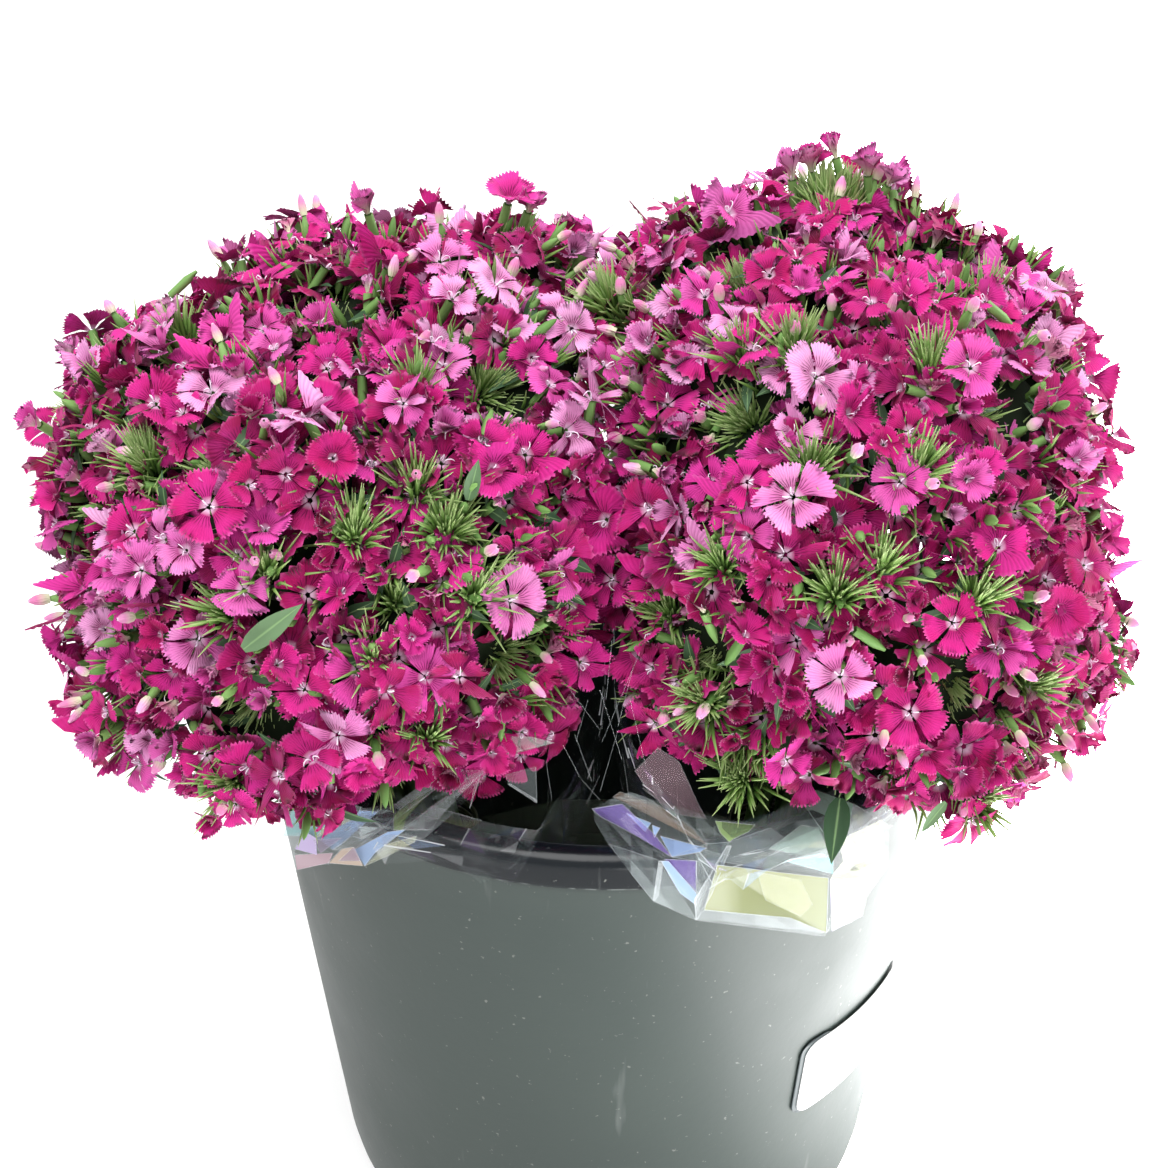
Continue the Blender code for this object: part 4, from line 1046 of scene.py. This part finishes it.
def film_material():
    """Clear film: each facet has its own tint and its own see-through share."""
    look = Look("iridescent_film", Roughness=0.16, Specular_IOR_Level=0.45, IOR=1.5)
    hue, share, glow, _ = look.look()
    tint = look.ramp(hue, (
        (0.00, (0.45, 0.52, 0.53)),
        (0.08, (0.66, 0.70, 0.72)),
        (0.18, (0.18, 0.48, 0.50)),
        (0.28, (0.33, 0.48, 0.78)),
        (0.38, (0.19, 0.12, 0.42)),
        (0.46, (0.22, 0.15, 0.26)),
        (0.54, (0.55, 0.42, 0.75)),
        (0.62, (0.62, 0.38, 0.46)),
        (0.70, (0.58, 0.43, 0.33)),
        (0.78, (0.66, 0.68, 0.46)),
        (0.86, (0.36, 0.52, 0.20)),
        (0.92, (0.40, 0.54, 0.48)),
        (1.00, (0.16, 0.18, 0.05)),
    ))
    look.set("Base Color", tint)
    look.set("Alpha", share)
    look.set("Emission Color", tint)
    look.set("Emission Strength", glow)
    look.bump(look.noise(160.0, 3.0, 0.6, (1.0, 1.0, 0.3)), 0.12, 0.0006)
    return look.material


def stage_material():
    """A pale floor with a bright strip at the right, which the bucket's glossy wall reflects."""
    look = Look("white_floor", Roughness=0.9)
    look.set("Base Color", look.mix(look.noise(3.0), (0.55, 0.55, 0.55, 1.0), (0.57, 0.57, 0.57, 1.0)))
    strip = look.between(look.coordinate(0), 0.0, 0.5)
    glow = look.band(strip, ((0.17, 0.045), (0.40, 1.0), (0.58, 0.9), (0.90, 0.16)))
    look.set("Emission Color", (1.0, 1.0, 1.0, 1.0))
    look.set("Emission Strength", look.times(glow, FLOOR_GLOW))
    return look.material


# Bucket section: its sides round, wall and floor, and the rolled rim
BUCKET_SIDES = 160
WALL = 0.0025
FLOOR = 0.0035
RIM_ROUND = 0.0046
RIM_STEPS = 8


def wall_outer_r(z):
    return BASE_R + WALL_SLOPE * z


def on_wall(radius, turn, z):
    return AXIS_X + radius * math.cos(turn), AXIS_Y + radius * math.sin(turn), z


def arc(centre_r, centre_z, radius, start, end, steps):
    """Points of a circle's arc in the bucket's section, from one angle to another in degrees."""
    turns = [math.radians(turn) for turn in np.linspace(start, end, steps)]
    return [(centre_r + radius * math.cos(turn), centre_z + radius * math.sin(turn)) for turn in turns]


def bucket_section():
    inner_r = wall_outer_r(0.0) - WALL
    points = [(0.0, 0.0), (0.085, 0.0), (0.0862, 0.0012), (0.0874, 0.0)]
    points += arc(BASE_R - 0.006, 0.006, 0.006, -90.0, -5.0, 7)
    points += [(wall_outer_r(z), z) for z in np.linspace(0.012, SKIRT_Z - 0.004, 14)]
    skirt_r = wall_outer_r(SKIRT_Z)
    points += [(skirt_r + 0.0004, SKIRT_Z - 0.0008), (skirt_r + 0.0016, SKIRT_Z)]
    points += [(RIM_OUTER_R - 0.0022, SKIRT_Z), (RIM_OUTER_R - 0.0008, SKIRT_Z + 0.0006)]
    points += arc(RIM_OUTER_R - RIM_ROUND, BUCKET_TOP - RIM_ROUND, RIM_ROUND, 0.0, 90.0, RIM_STEPS)
    points += arc(RIM_INNER_R + 0.0032, BUCKET_TOP - 0.0032, 0.0032, 90.0, 180.0, RIM_STEPS)
    points += [(RIM_INNER_R, SKIRT_Z)]
    points += [(inner_r + (RIM_INNER_R - inner_r) * share, FLOOR + 0.004 + (SKIRT_Z - FLOOR - 0.004) * share)
               for share in np.linspace(0.93, 0.0, 12)]
    points += arc(inner_r - 0.004, FLOOR + 0.004, 0.004, 0.0, -90.0, 5)
    points += [(0.0, FLOOR)]
    return points


def build_bucket():
    section = bucket_section()
    turns = TURN * np.arange(BUCKET_SIDES) / BUCKET_SIDES
    pile = Pile()
    rings = np.array([[on_wall(radius, turn, z) for turn in turns] for radius, z in section[1:-1]])
    count = len(rings) * BUCKET_SIDES
    points = np.concatenate((rings.reshape(-1, 3), ((AXIS_X, AXIS_Y, 0.0), (AXIS_X, AXIS_Y, FLOOR))))
    around = np.arange(BUCKET_SIDES)
    after = (around + 1) % BUCKET_SIDES
    low = np.stack((np.full(BUCKET_SIDES, count), after, around), axis=1)
    last = count - BUCKET_SIDES
    high = np.stack((np.full(BUCKET_SIDES, count + 1), last + around, last + after), axis=1)
    pile.add_even(points, [grid_faces(len(rings), BUCKET_SIDES, closed=True), low, high])
    bucket = pile.piece("bucket_plastic", bucket_material(), "bucket", "bucket")
    bucket.data.set_sharp_from_angle(angle=math.radians(38.0))


# Label: a blank white panel, and a dark one under it that shows at its left and over its top
LABEL_MIDDLE = math.radians(-38.5)
LABEL_HALF = math.radians(15.8)
LABEL_Z = (0.0755, 0.1135)
LABEL_BORDER = math.radians(1.1)
LABEL_BORDER_TURN = math.radians(8.0)
LABEL_CORNER = 0.006
LABEL_COLUMNS, LABEL_ROWS = 25, 17
LABEL_THICK = 0.00035
LABEL_PULL = 0.7
LABEL_WALL_R = 0.11


def label_panel(name, turns, heights, offset, material):
    """A thin panel with rounded corners that follows the wall."""
    points = []
    for skin in (0.0, LABEL_THICK):
        for z in np.linspace(heights[0], heights[1], LABEL_ROWS):
            for turn in np.linspace(turns[0], turns[1], LABEL_COLUMNS):
                edge_z = min(z - heights[0], heights[1] - z)
                edge_t = min(turn - turns[0], turns[1] - turn) * LABEL_WALL_R
                near = LABEL_CORNER - min(edge_z, LABEL_CORNER), LABEL_CORNER - min(edge_t, LABEL_CORNER)
                pull = max(0.0, math.hypot(*near) - LABEL_CORNER)
                heading = 1.0 if turn < (turns[0] + turns[1]) / 2.0 else -1.0
                angle = turn + heading * pull * LABEL_PULL / LABEL_WALL_R
                rising = 1.0 if z < (heights[0] + heights[1]) / 2.0 else -1.0
                height = z + rising * pull * LABEL_PULL
                points.append(on_wall(wall_outer_r(height) + offset + skin, angle, height))
    grid = np.arange(LABEL_ROWS * LABEL_COLUMNS).reshape(LABEL_ROWS, LABEL_COLUMNS)
    border = np.concatenate((grid[0], grid[1:, -1], grid[-1, -2::-1], grid[-2:0:-1, 0]))
    following = np.roll(border, -1)
    faces = grid_faces(LABEL_ROWS, LABEL_COLUMNS)
    sides = np.stack((border, following, following + grid.size, border + grid.size), axis=1)
    pile = Pile()
    pile.add_even(np.array(points), [faces + grid.size, faces[:, ::-1], sides])
    pile.piece(name, material, "label", "label", smooth=False)


def build_label():
    left, right = LABEL_MIDDLE - LABEL_HALF, LABEL_MIDDLE + LABEL_HALF
    dark = mottled_material("label_edge", 0.5, 80.0, (0.020, 0.032, 0.036), (0.050, 0.065, 0.068), 600.0, 0.1)
    label_panel("label_edge", (left, left + LABEL_BORDER_TURN), LABEL_Z, 0.0005, dark)
    pale = mottled_material("blank_label", 0.45, 60.0, (0.80, 0.82, 0.81), (0.92, 0.93, 0.92), 900.0, 0.1)
    label_panel("label_face", (left + LABEL_BORDER, right), (LABEL_Z[0], LABEL_Z[1] - 0.0012), 0.0010, pale)


def build_bands(side):
    """A rubber band wound four times round the stems."""
    low, high = (np.array(corner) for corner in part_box("tie_" + side))
    middle = (low + high) / 2.0
    radius = (high[:2] - low[:2]).min() / 2.0 - 0.0008
    rng = np.random.default_rng(SEED + 90 + len(side))
    pile = Pile()
    for wind in range(4):
        turns = np.linspace(0.0, TURN, 73)
        wave = 0.0006 * np.sin(turns + rng.uniform(0.0, 6.28))
        level = middle[2] + (wind - 1.5) * (high[2] - low[2]) * 0.24
        path = np.stack((middle[0] + (radius + wave * 0.4) * np.cos(turns),
                         middle[1] + (radius + wave * 0.4) * np.sin(turns), level + wave), axis=1)
        points, faces = swept(path, np.full(len(path), 0.0007), 6)
        pile.add_even(points, [faces])
    dark, light = (0.050, 0.060, 0.030), (0.090, 0.095, 0.045)
    rubber = mottled_material("rubber_band", 0.60, 500.0, dark, light, 1500.0, 0.3)
    pile.piece("band_" + side, rubber, "tie", "tie_" + side)


# Film sleeves: height and half widths of each ring, rows inside and outside the rim, and how the film hangs
FILM_COLUMNS = 66
FILM_RINGS = ((0.084, 0.029, 0.029), (0.150, 0.044, 0.066), (0.205, 0.060, 0.116), (0.2285, 0.061, 0.120))
FILM_CENTRE_X = 0.0615
FILM_INSIDE_ROWS = 10
FILM_HANG_ROWS = 6
FILM_STAND = 0.016
FILM_JITTER = 0.34
FILM_CRUMPLE = 0.0022
FILM_TURN_DOWN = 0.007
FILM_OVER_TOP = 0.003
FILM_STANDING_R = 0.116
BARE_X = (-0.058, -0.004)
SEAM_PIXEL = 596
CREASE_SHARE = 0.16
CREASE_W = (0.00012, 0.00035)
CREASE_SHARES = ((0.3, 0.7), (0.08, 0.30))

# Tints of the film as it splits the light, by their place on the material's ramp; white is painted reflection
# of the bright room
TINTS = {"clear": 0.0, "white": 0.08, "cyan": 0.18, "sky": 0.28, "violet": 0.38, "dusk": 0.46, "lilac": 0.54,
         "rose": 0.62, "peach": 0.70, "butter": 0.78, "lime": 0.86, "mint": 0.92, "olive": 1.0}

# How much of a fold's opacity each tint keeps, and how opaque the plain facets are outside and inside
FLAP_SHARE = {"white": 0.28, "clear": 0.45, "butter": 0.5}
FLAP_SHARE_ELSE = 0.85
FACET_SHARE = (0.45, 0.14)
BARE_SHARE = 0.1

# Light of the film's own, which stands for glints off creases too fine to model
SHEET_GLOW, FLAP_GLOW, FOLD_GLOW = 0.04, 0.06, 0.10

# Folds of the two front flaps: tint, opacity, stand-off in mm and corners as the photograph's pixels
FLAPS = {
    "left": (
        ("cyan", 0.60, 5, ((306, 796), (333, 794), (341, 804), (318, 836), (283, 836), (293, 807))),
        ("butter", 0.75, 6, ((341, 804), (350, 821), (316, 838))),
        ("lilac", 0.80, 6, ((306, 832), (316, 838), (317, 855), (295, 849))),
        ("dusk", 0.60, 6, ((314, 840), (342, 838), (321, 853))),
        ("rose", 0.60, 6, ((295, 855), (333, 853), (329, 863), (297, 870))),
        ("white", 0.55, 5, ((283, 836), (306, 832), (295, 849), (295, 855), (297, 870), (287, 872))),
        ("peach", 0.70, 7, ((329, 863), (342, 849), (354, 847), (363, 866))),
        ("dusk", 0.60, 8, ((339, 861), (354, 847), (361, 861))),
        ("sky", 0.45, 4, ((350, 821), (360, 810), (378, 812), (342, 844), (333, 850), (318, 838))),
        ("white", 0.85, 7, ((333, 850), (342, 844), (396, 804), (441, 772), (464, 770), (455, 775),
                            (405, 813), (354, 850))),
        ("lime", 0.50, 5, ((394, 830), (394, 815), (417, 796), (432, 790), (407, 815), (403, 830))),
        ("white", 0.60, 6, ((401, 830), (417, 819), (445, 800), (472, 775), (485, 771), (459, 796),
                            (438, 819), (432, 830))),
        ("sky", 0.60, 6, ((354, 850), (388, 832), (405, 830), (375, 853), (365, 866))),
        ("butter", 0.50, 6, ((365, 866), (388, 844), (417, 836), (415, 842), (388, 856))),
        ("mint", 0.30, 4, ((504, 757), (512, 737), (531, 737), (554, 743), (518, 751))),
        ("white", 0.60, 4, ((484, 771), (486, 770), (505, 756), (504, 758))),
        ("clear", 0.22, 2, ((506, 775), (536, 767), (537, 802), (533, 798), (510, 786))),
        ("white", 0.50, 3, ((508, 784), (511, 784), (537, 800), (537, 803))),
        ("rose", 0.50, 3, ((475, 786), (481, 775), (470, 809))),
    ),
    "right": (
        ("clear", 0.14, 5, ((609, 844), (661, 861), (653, 901))),
        ("clear", 0.26, 6, ((653, 901), (661, 861), (696, 920))),
        ("violet", 0.55, 6, ((664, 859), (696, 861), (696, 891))),
        ("sky", 0.70, 7, ((661, 861), (668, 861), (696, 893), (696, 905), (680, 893))),
        ("white", 0.85, 8, ((659, 861), (663, 861), (658, 897), (653, 901))),
        ("white", 0.90, 9, ((727, 846), (731, 846), (711, 895), (696, 920), (694, 899), (706, 882))),
        ("clear", 0.30, 6, ((696, 861), (717, 861), (706, 882), (696, 893))),
        ("olive", 0.90, 6, ((717, 865), (828, 878), (826, 933), (790, 918), (704, 910))),
        ("butter", 0.20, 7, ((757, 872), (800, 880), (812, 905), (800, 916), (765, 900))),
        ("white", 0.40, 7, ((696, 920), (704, 910), (790, 918), (826, 933), (824, 936))),
        ("clear", 0.30, 6, ((672, 857), (706, 844), (729, 842), (717, 861), (696, 861))),
        ("clear", 0.28, 5, ((717, 861), (729, 842), (770, 828), (800, 850), (833, 873), (828, 878))),
        ("lime", 0.75, 6, ((715, 821), (755, 825), (748, 832), (733, 839), (729, 842), (720, 833))),
        ("peach", 0.16, 5, ((613, 797), (620, 792), (660, 806), (690, 826), (707, 845), (697, 838),
                            (665, 815), (640, 801))),
        ("sky", 0.90, 5, ((626, 813), (651, 823), (645, 832))),
        ("sky", 0.90, 5, ((652, 825), (660, 828), (654, 838))),
        ("sky", 0.60, 5, ((660, 836), (706, 848), (700, 852), (672, 857))),
        ("violet", 0.55, 4, ((592, 809), (622, 804), (654, 834), (672, 857), (635, 835), (601, 817))),
        ("rose", 0.14, 4, ((635, 771), (658, 748), (679, 762), (698, 804), (706, 819), (670, 813),
                           (649, 792))),
        ("mint", 0.60, 6, ((795, 791), (818, 791), (853, 804), (847, 836), (839, 853), (816, 823))),
        ("mint", 0.35, 5, ((769, 849), (801, 825), (818, 828), (833, 861), (790, 853))),
        ("cyan", 0.75, 6, ((784, 861), (822, 853), (833, 861), (833, 874))),
        ("butter", 0.70, 6, ((839, 840), (883, 819), (883, 859), (862, 870), (843, 861))),
        ("lilac", 0.70, 6, ((830, 880), (870, 878), (862, 916), (832, 931))),
        ("butter", 0.50, 7, ((833, 874), (843, 861), (862, 870), (883, 859), (888, 866), (870, 878),
                             (830, 880))),
        ("white", 0.40, 6, ((853, 804), (888, 826), (883, 819), (839, 840), (847, 836))),
    ),
}

# The clear sheets that those folds are part of: left and right columns of pixel x, top y and bottom y
SHEETS = {
    "left": ((283, 820, 868), (306, 796, 866), (333, 794, 864), (363, 808, 864), (396, 803, 850),
             (425, 785, 838), (455, 771, 812), (486, 770, 780)),
    "right": ((594, 808, 820), (609, 800, 846), (631, 792, 874), (653, 800, 901), (674, 806, 910),
              (696, 812, 919), (722, 820, 921), (755, 822, 925), (795, 800, 930), (826, 793, 933),
              (853, 804, 922), (872, 815, 890), (889, 828, 866)),
}
SHEET_ROWS = 7

# Leaves, listed one by one: side, base and tip as the photograph's pixels, width, droop and tone
LEAVES = (
    ("left", (228, 656), (300, 606), 0.0095, 0.5, 0.75),
    ("left", (525, 618), (592, 588), 0.0080, 0.5, 0.45),
    ("right", (646, 694), (680, 734), 0.0060, 0.4, 0.6),
    ("right", (704, 746), (658, 720), 0.0060, 0.4, 0.6),
    ("right", (818, 820), (832, 858), 0.0085, 0.2, 0.0),
    ("right", (948, 792), (920, 834), 0.0036, 0.9, 1.3),
    ("right", (1002, 606), (1040, 590), 0.0050, 0.4, 0.6),
    ("left", (140, 505), (108, 520), 0.0050, 0.4, 0.5),
    ("left", (462, 500), (478, 462), 0.0060, 0.4, 0.7),
)
LEAF_CLEARING = 0.0065

# Blooms listed one by one: side, pixel, kind, radius and tone. The first rows stand clear of the mass, then
# come pale ones in it, and the last six fill the dark seam between the bunches
SPRIGS = (
    ("right", 836, 158, "rosette", 0.0125, 0.72), ("right", 868, 176, "cup", 0.0105, 0.80),
    ("right", 792, 180, "funnel", 0.0110, 0.85), ("right", 812, 172, "cup", 0.0100, 0.62),
    ("right", 888, 186, "cup", 0.0090, 0.90), ("left", 508, 204, "bowl", 0.0105, 0.60),
    ("left", 528, 212, "cup", 0.0095, 0.72), ("left", 368, 214, "cup", 0.0095, 0.80),
    ("left", 214, 814, "cup", 0.0085, 0.45), ("left", 236, 804, "open", 0.0085, 0.55),
    ("left", 100, 738, "cup", 0.0090, 0.85), ("left", 40, 425, "cup", 0.0090, 0.75),
    ("right", 793, 497, "flat", 0.0118, 0.93), ("right", 840, 676, "open", 0.0105, 0.92),
    ("left", 272, 352, "flat", 0.0100, 0.90), ("right", 606, 345, "cup", 0.0105, 0.97),
    ("right", 650, 345, "cup", 0.0105, 0.95), ("left", 440, 262, "flat", 0.0105, 0.92),
    ("left", 235, 490, "bowl", 0.0090, 0.88), ("left", 165, 352, "bowl", 0.0095, 0.85),
    ("left", 142, 570, "flat", 0.0095, 0.82), ("right", 970, 368, "flat", 0.0100, 0.78),
    ("right", 600, 452, "bowl", 0.0105, 0.60), ("left", 588, 484, "flat", 0.0105, 0.45),
    ("right", 607, 520, "open", 0.0105, 0.50), ("left", 582, 548, "open", 0.0100, 0.40),
    ("right", 612, 580, "flat", 0.0100, 0.55), ("left", 570, 604, "flat", 0.0095, 0.35),
)
SPRIG_CLEARING = 0.0085

# Tufts of bracts that stand clear of the mass: side and pixel
BRUSHES = (("right", 824, 172), ("right", 846, 178))

# Painted glints: bright lines of wrinkled film in the dark between the bunches, with ends as the photograph's
# pixels
FILM_GLINTS = (
    ((563, 745), (580, 777)), ((575, 735), (592, 782)), ((640, 652), (602, 742)), ((600, 690), (622, 760)),
    ((588, 700), (576, 742)), ((630, 700), (646, 768)), ((612, 640), (606, 700)), ((570, 690), (600, 730)),
    ((618, 730), (600, 792)), ((582, 780), (600, 800)), ((546, 760), (552, 800)), ((632, 672), (618, 726)),
)


def superellipse(half_x, half_y, turn, power):
    cos, sin = math.cos(turn), math.sin(turn)
    return np.array((half_x * math.copysign(abs(cos) ** (2.0 / power), cos),
                     half_y * math.copysign(abs(sin) ** (2.0 / power), sin)))


def film_section(side, height, turn):
    """Where the film would lie at a height, measured from the bucket's axis."""
    sign = SIDES[side]
    levels = [ring[0] for ring in FILM_RINGS]
    half_x = np.interp(height, levels, [ring[1] for ring in FILM_RINGS])
    half_y = np.interp(height, levels, [ring[2] for ring in FILM_RINGS])
    squareness = np.interp(height, levels, (2.0, 2.0, 3.2, 3.2))
    share = (height - 0.0035) / (DOME_CENTRE[side][2] - 0.0035)
    low_x = sign * (0.046 + (abs(DOME_CENTRE[side][0]) - 0.046) * share)
    middle_x = np.interp(height, levels, (low_x, low_x, sign * FILM_CENTRE_X, sign * FILM_CENTRE_X))
    point = np.array((middle_x, DOME_CENTRE[side][1])) + superellipse(half_x, half_y, turn, squareness)
    if point[0] * sign < 0.0015:
        point[0] = sign * 0.0015
    return point


def film_point(side, turn, row):
    """A point of the film: rows run up inside the bucket, over its rim and down outside."""
    height = np.interp(row, (0.0, FILM_INSIDE_ROWS), (FILM_RINGS[0][0], FILM_RINGS[-1][0]))
    point = film_section(side, height, turn)
    radius = np.linalg.norm(point)
    limit = wall_outer_r(min(height, SKIRT_Z)) - WALL - 0.0035
    if row <= FILM_INSIDE_ROWS:
        if radius > limit:
            point *= limit / radius
        return np.array((point[0], point[1], height))
    over = (row - FILM_INSIDE_ROWS) / FILM_HANG_ROWS
    touch = smooth_step(limit - 0.003, limit + 0.004, radius)
    near_seam = max(0.0, 1.0 - abs(point[0]) / 0.030)
    standing = np.array((point[0], point[1], height + near_seam * FILM_STAND * over + 0.002 * over))
    outward = point / radius
    reaches = (RIM_INNER_R - 0.002, RIM_INNER_R + 0.005, RIM_OUTER_R + 0.003, RIM_OUTER_R + 0.0065)
    reach = np.interp(over, (0.0, 0.16, 0.34, 1.0), reaches)
    level = BUCKET_TOP + np.interp(over, (0.0, 0.16, 0.34), (0.0007, 0.0022, 0.0004))
    level -= FILM_TURN_DOWN * max(0.0, over - 0.34) / 0.66
    hanging = np.array((outward[0] * reach, outward[1] * reach, level))
    return standing * (1.0 - touch) + hanging * touch


def build_film(side):
    rng = np.random.default_rng(SEED + 50 + len(side))
    rows = FILM_INSIDE_ROWS + FILM_HANG_ROWS + 1
    grid = np.empty((rows, FILM_COLUMNS, 3))
    for row in range(rows):
        for column in range(FILM_COLUMNS):
            shift = rng.uniform(-FILM_JITTER, FILM_JITTER, 2)
            at_row = row if row in (0, FILM_INSIDE_ROWS, rows - 1) else row + shift[0]
            turn = TURN * (column + 0.5 + shift[1]) / FILM_COLUMNS
            point = film_point(side, turn, at_row)
            if row > FILM_INSIDE_ROWS + 2:
                point[:2] += unit(point[:2]) * rng.uniform(-0.5, 1.6) * FILM_CRUMPLE
                point[2] += rng.uniform(-1.0, 1.0) * FILM_CRUMPLE * (2.0 if row == rows - 1 else 0.6)
            elif row < FILM_INSIDE_ROWS - 1:
                inward = unit(point[:2] - np.array((SIDES[side] * 0.06, 0.0)))
                point[:2] -= inward * rng.uniform(0.0, 1.0) * FILM_CRUMPLE
            grid[row, column] = point + AXIS
    pile = Pile()
    for row in range(rows - 1):
        for column in range(FILM_COLUMNS):
            after = (column + 1) % FILM_COLUMNS
            corners = grid[row, column], grid[row, after], grid[row + 1, after], grid[row + 1, column]
            halves = ((0, 1, 2), (0, 2, 3)) if rng.random() < 0.5 else ((0, 1, 3), (1, 2, 3))
            outside = row > FILM_INSIDE_ROWS + 1
            bare = outside and corners[0][1] < AXIS_Y and BARE_X[0] < corners[0][0] - AXIS_X < BARE_X[1]
            for half in halves:
                hue = film_hue(rng)
                share = rng.beta(1.2, 4.0) * FACET_SHARE[0 if outside else 1] + 0.02
                facet = np.array([corners[index] for index in half])
                pile.add_even(facet, TRIANGLE, hue, share * BARE_SHARE if bare else share, 0.0, 1.0)
            diagonal = (0, 2) if halves[0][2] == 2 else (1, 3)
            # Creases: thin bright lines of painted glint
            for start, end in ((0, 1), (0, 3), diagonal):
                if rng.random() < CREASE_SHARE * (1.0 if outside else 0.5) and not bare:
                    width = rng.uniform(*CREASE_W)
                    share = rng.uniform(*(CREASE_SHARES[0] if outside else CREASE_SHARES[1]))
                    add_fold(pile, corners[start], corners[end], width, share, FOLD_GLOW if outside else 0.0,
                             lift=0.0003, rise=0.25, taper=0.4)
    add_sheet(pile, side, rng)
    add_flaps(pile, side)
    # Painted glints between the bunches
    for start, end in FILM_GLINTS:
        if (start[0] < SEAM_PIXEL) == (side == "left"):
            add_fold(pile, on_film(*start, 0.0), on_film(*end, 0.0), 0.00008, 0.15)
    pile.piece("film_" + side, film_material(), "film", "sleeve_" + side, smooth=False)


def film_hue(rng):
    """Mostly clear, with a stray tint or the white of painted reflection."""
    names = ("clear", "white", "sky", "lilac", "mint", "butter")
    return TINTS[names[rng.choice(len(names), p=(0.45, 0.2, 0.1, 0.1, 0.1, 0.05))]]


def on_film(x, y, stand_off):
    """Where a pixel's ray meets the film: outside the rim, over its top, or standing inside it."""
    eye, ray = pixel_ray(x, y)
    eye = eye - AXIS
    outside = meet_cylinder(eye, ray, RIM_OUTER_R + stand_off)
    if outside is not None and outside[2] <= BUCKET_TOP + 0.001:
        return outside + AXIS
    over = eye + ray * (BUCKET_TOP + FILM_OVER_TOP - eye[2]) / ray[2]
    if np.linalg.norm(over[:2]) < FILM_STANDING_R:
        over = meet_cylinder(eye, ray, FILM_STANDING_R)
    return over + AXIS


def meet_cylinder(eye, ray, radius):
    """The first meeting of a ray with an upright cylinder round the bucket's axis."""
    a = ray[:2] @ ray[:2]
    b = eye[:2] @ ray[:2]
    root = b * b - a * (eye[:2] @ eye[:2] - radius * radius)
    return None if root < 0.0 else eye + ray * (-b - math.sqrt(root)) / a


def add_sheet(pile, side, rng):
    """The clear film under a flap's tinted folds, in columns from its top edge to its bottom."""
    columns = SHEETS[side]
    grid = np.empty((len(columns), SHEET_ROWS, 3))
    for index, (x, top, bottom) in enumerate(columns):
        for row in range(SHEET_ROWS):
            y = top + (bottom - top) * row / (SHEET_ROWS - 1)
            grid[index, row] = on_film(x, y, rng.uniform(0.0025, 0.0042))
    points = grid.reshape(-1, 3)
    for quad in grid_faces(len(columns), SHEET_ROWS):
        for half in (quad[[0, 1, 2]], quad[[0, 2, 3]]):
            pile.add_even(points[half], TRIANGLE, TINTS["clear"], rng.uniform(0.05, 0.22), SHEET_GLOW, 1.0)


def add_flaps(pile, side):
    """The tinted folds of a flap, each a flat facet with a bright line of painted glint round it."""
    for tint, share, stand_off, corners in FLAPS[side]:
        points = np.array([on_film(x, y, stand_off * 0.001) for x, y in corners])
        fan = np.array([(0, step, step + 1) for step in range(1, len(points) - 1)])
        kept = share * FLAP_SHARE.get(tint, FLAP_SHARE_ELSE)
        pile.add_even(points, [fan], TINTS[tint], kept, FLAP_GLOW, 1.0)
        for start, end in zip(points, np.roll(points, -1, axis=0)):
            add_fold(pile, start, end, 0.00010, 0.10 + 0.28 * share)


def add_fold(pile, start, end, half_width, share, glow=FOLD_GLOW, lift=0.0004, rise=0.10, taper=1.0):
    """A thin bright line, a painted glint along a fold or between two facets, lifted off the film and tapered
    to its end.
    """
    middle = (start + end) / 2.0
    outward = unit(np.array((middle[0] - AXIS_X, middle[1] - AXIS_Y, rise)))
    side = unit(np.cross(end - start, outward)) * half_width
    start, end = start + outward * lift, end + outward * lift
    points = np.array((start - side, end - side * taper, end + side * taper, start + side))
    pile.add_even(points, QUAD, TINTS["white"], share, glow, 1.0)


# The floor's strongest light of its own
FLOOR_GLOW = 10.5


def area_light(name, where, target, size, energy):
    light = bpy.data.lights.new(name, "AREA")
    light.size = size
    light.energy = energy
    obj = bpy.data.objects.new(name, light)
    obj.location = where
    obj.rotation_euler = (Vector(target) - Vector(where)).to_track_quat("-Z", "Y").to_euler()
    bpy.context.scene.collection.objects.link(obj)


def build_studio():
    floor = Pile()
    floor.add_even(np.array(((-4.0, -4.0, 0.0), (4.0, -4.0, 0.0), (4.0, 4.0, 0.0), (-4.0, 4.0, 0.0))), QUAD)
    plane = bpy.data.objects.new("floor", floor.mesh("floor"))
    plane.data.materials.append(stage_material())
    bpy.context.scene.collection.objects.link(plane)

    world = bpy.data.worlds.new("white_room")
    world.use_nodes = True
    background = world.node_tree.nodes["Background"]
    background.inputs["Color"].default_value = (1.0, 1.0, 1.0, 1.0)
    background.inputs["Strength"].default_value = 1.0
    bpy.context.scene.world = world
    area_light("key", (-0.4, -0.5, 2.2), (0.0, 0.0, 0.25), 1.8, 62.0)
    area_light("window", (1.2, 0.55, 0.75), (0.05, 0.0, 0.15), 1.2, 20.0)
    bpy.context.scene.view_settings.view_transform = "Standard"

    camera_data = bpy.data.cameras.new("camera")
    camera_data.sensor_fit = "HORIZONTAL"
    camera_data.sensor_width = 36.0
    camera_data.lens = CAMERA_LENS
    camera_data.clip_start = 0.02
    camera = bpy.data.objects.new("camera", camera_data)
    camera.location = CAMERA_PLACE
    camera.rotation_euler = (math.pi / 2.0 - CAMERA_PITCH, 0.0, 0.0)
    bpy.context.scene.collection.objects.link(camera)
    bpy.context.scene.camera = camera


def main():
    build_bucket()
    build_label()
    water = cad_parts["water"].data.materials
    water.clear()
    water.append(water_material())
    for side in SIDES:
        build_bands(side)
        build_film(side)
    templates = make_templates()
    petal_look, green_look = petal_material(), green_material()
    for side in SIDES:
        Bunch(side, templates).build(petal_look, green_look)
    build_studio()


main()
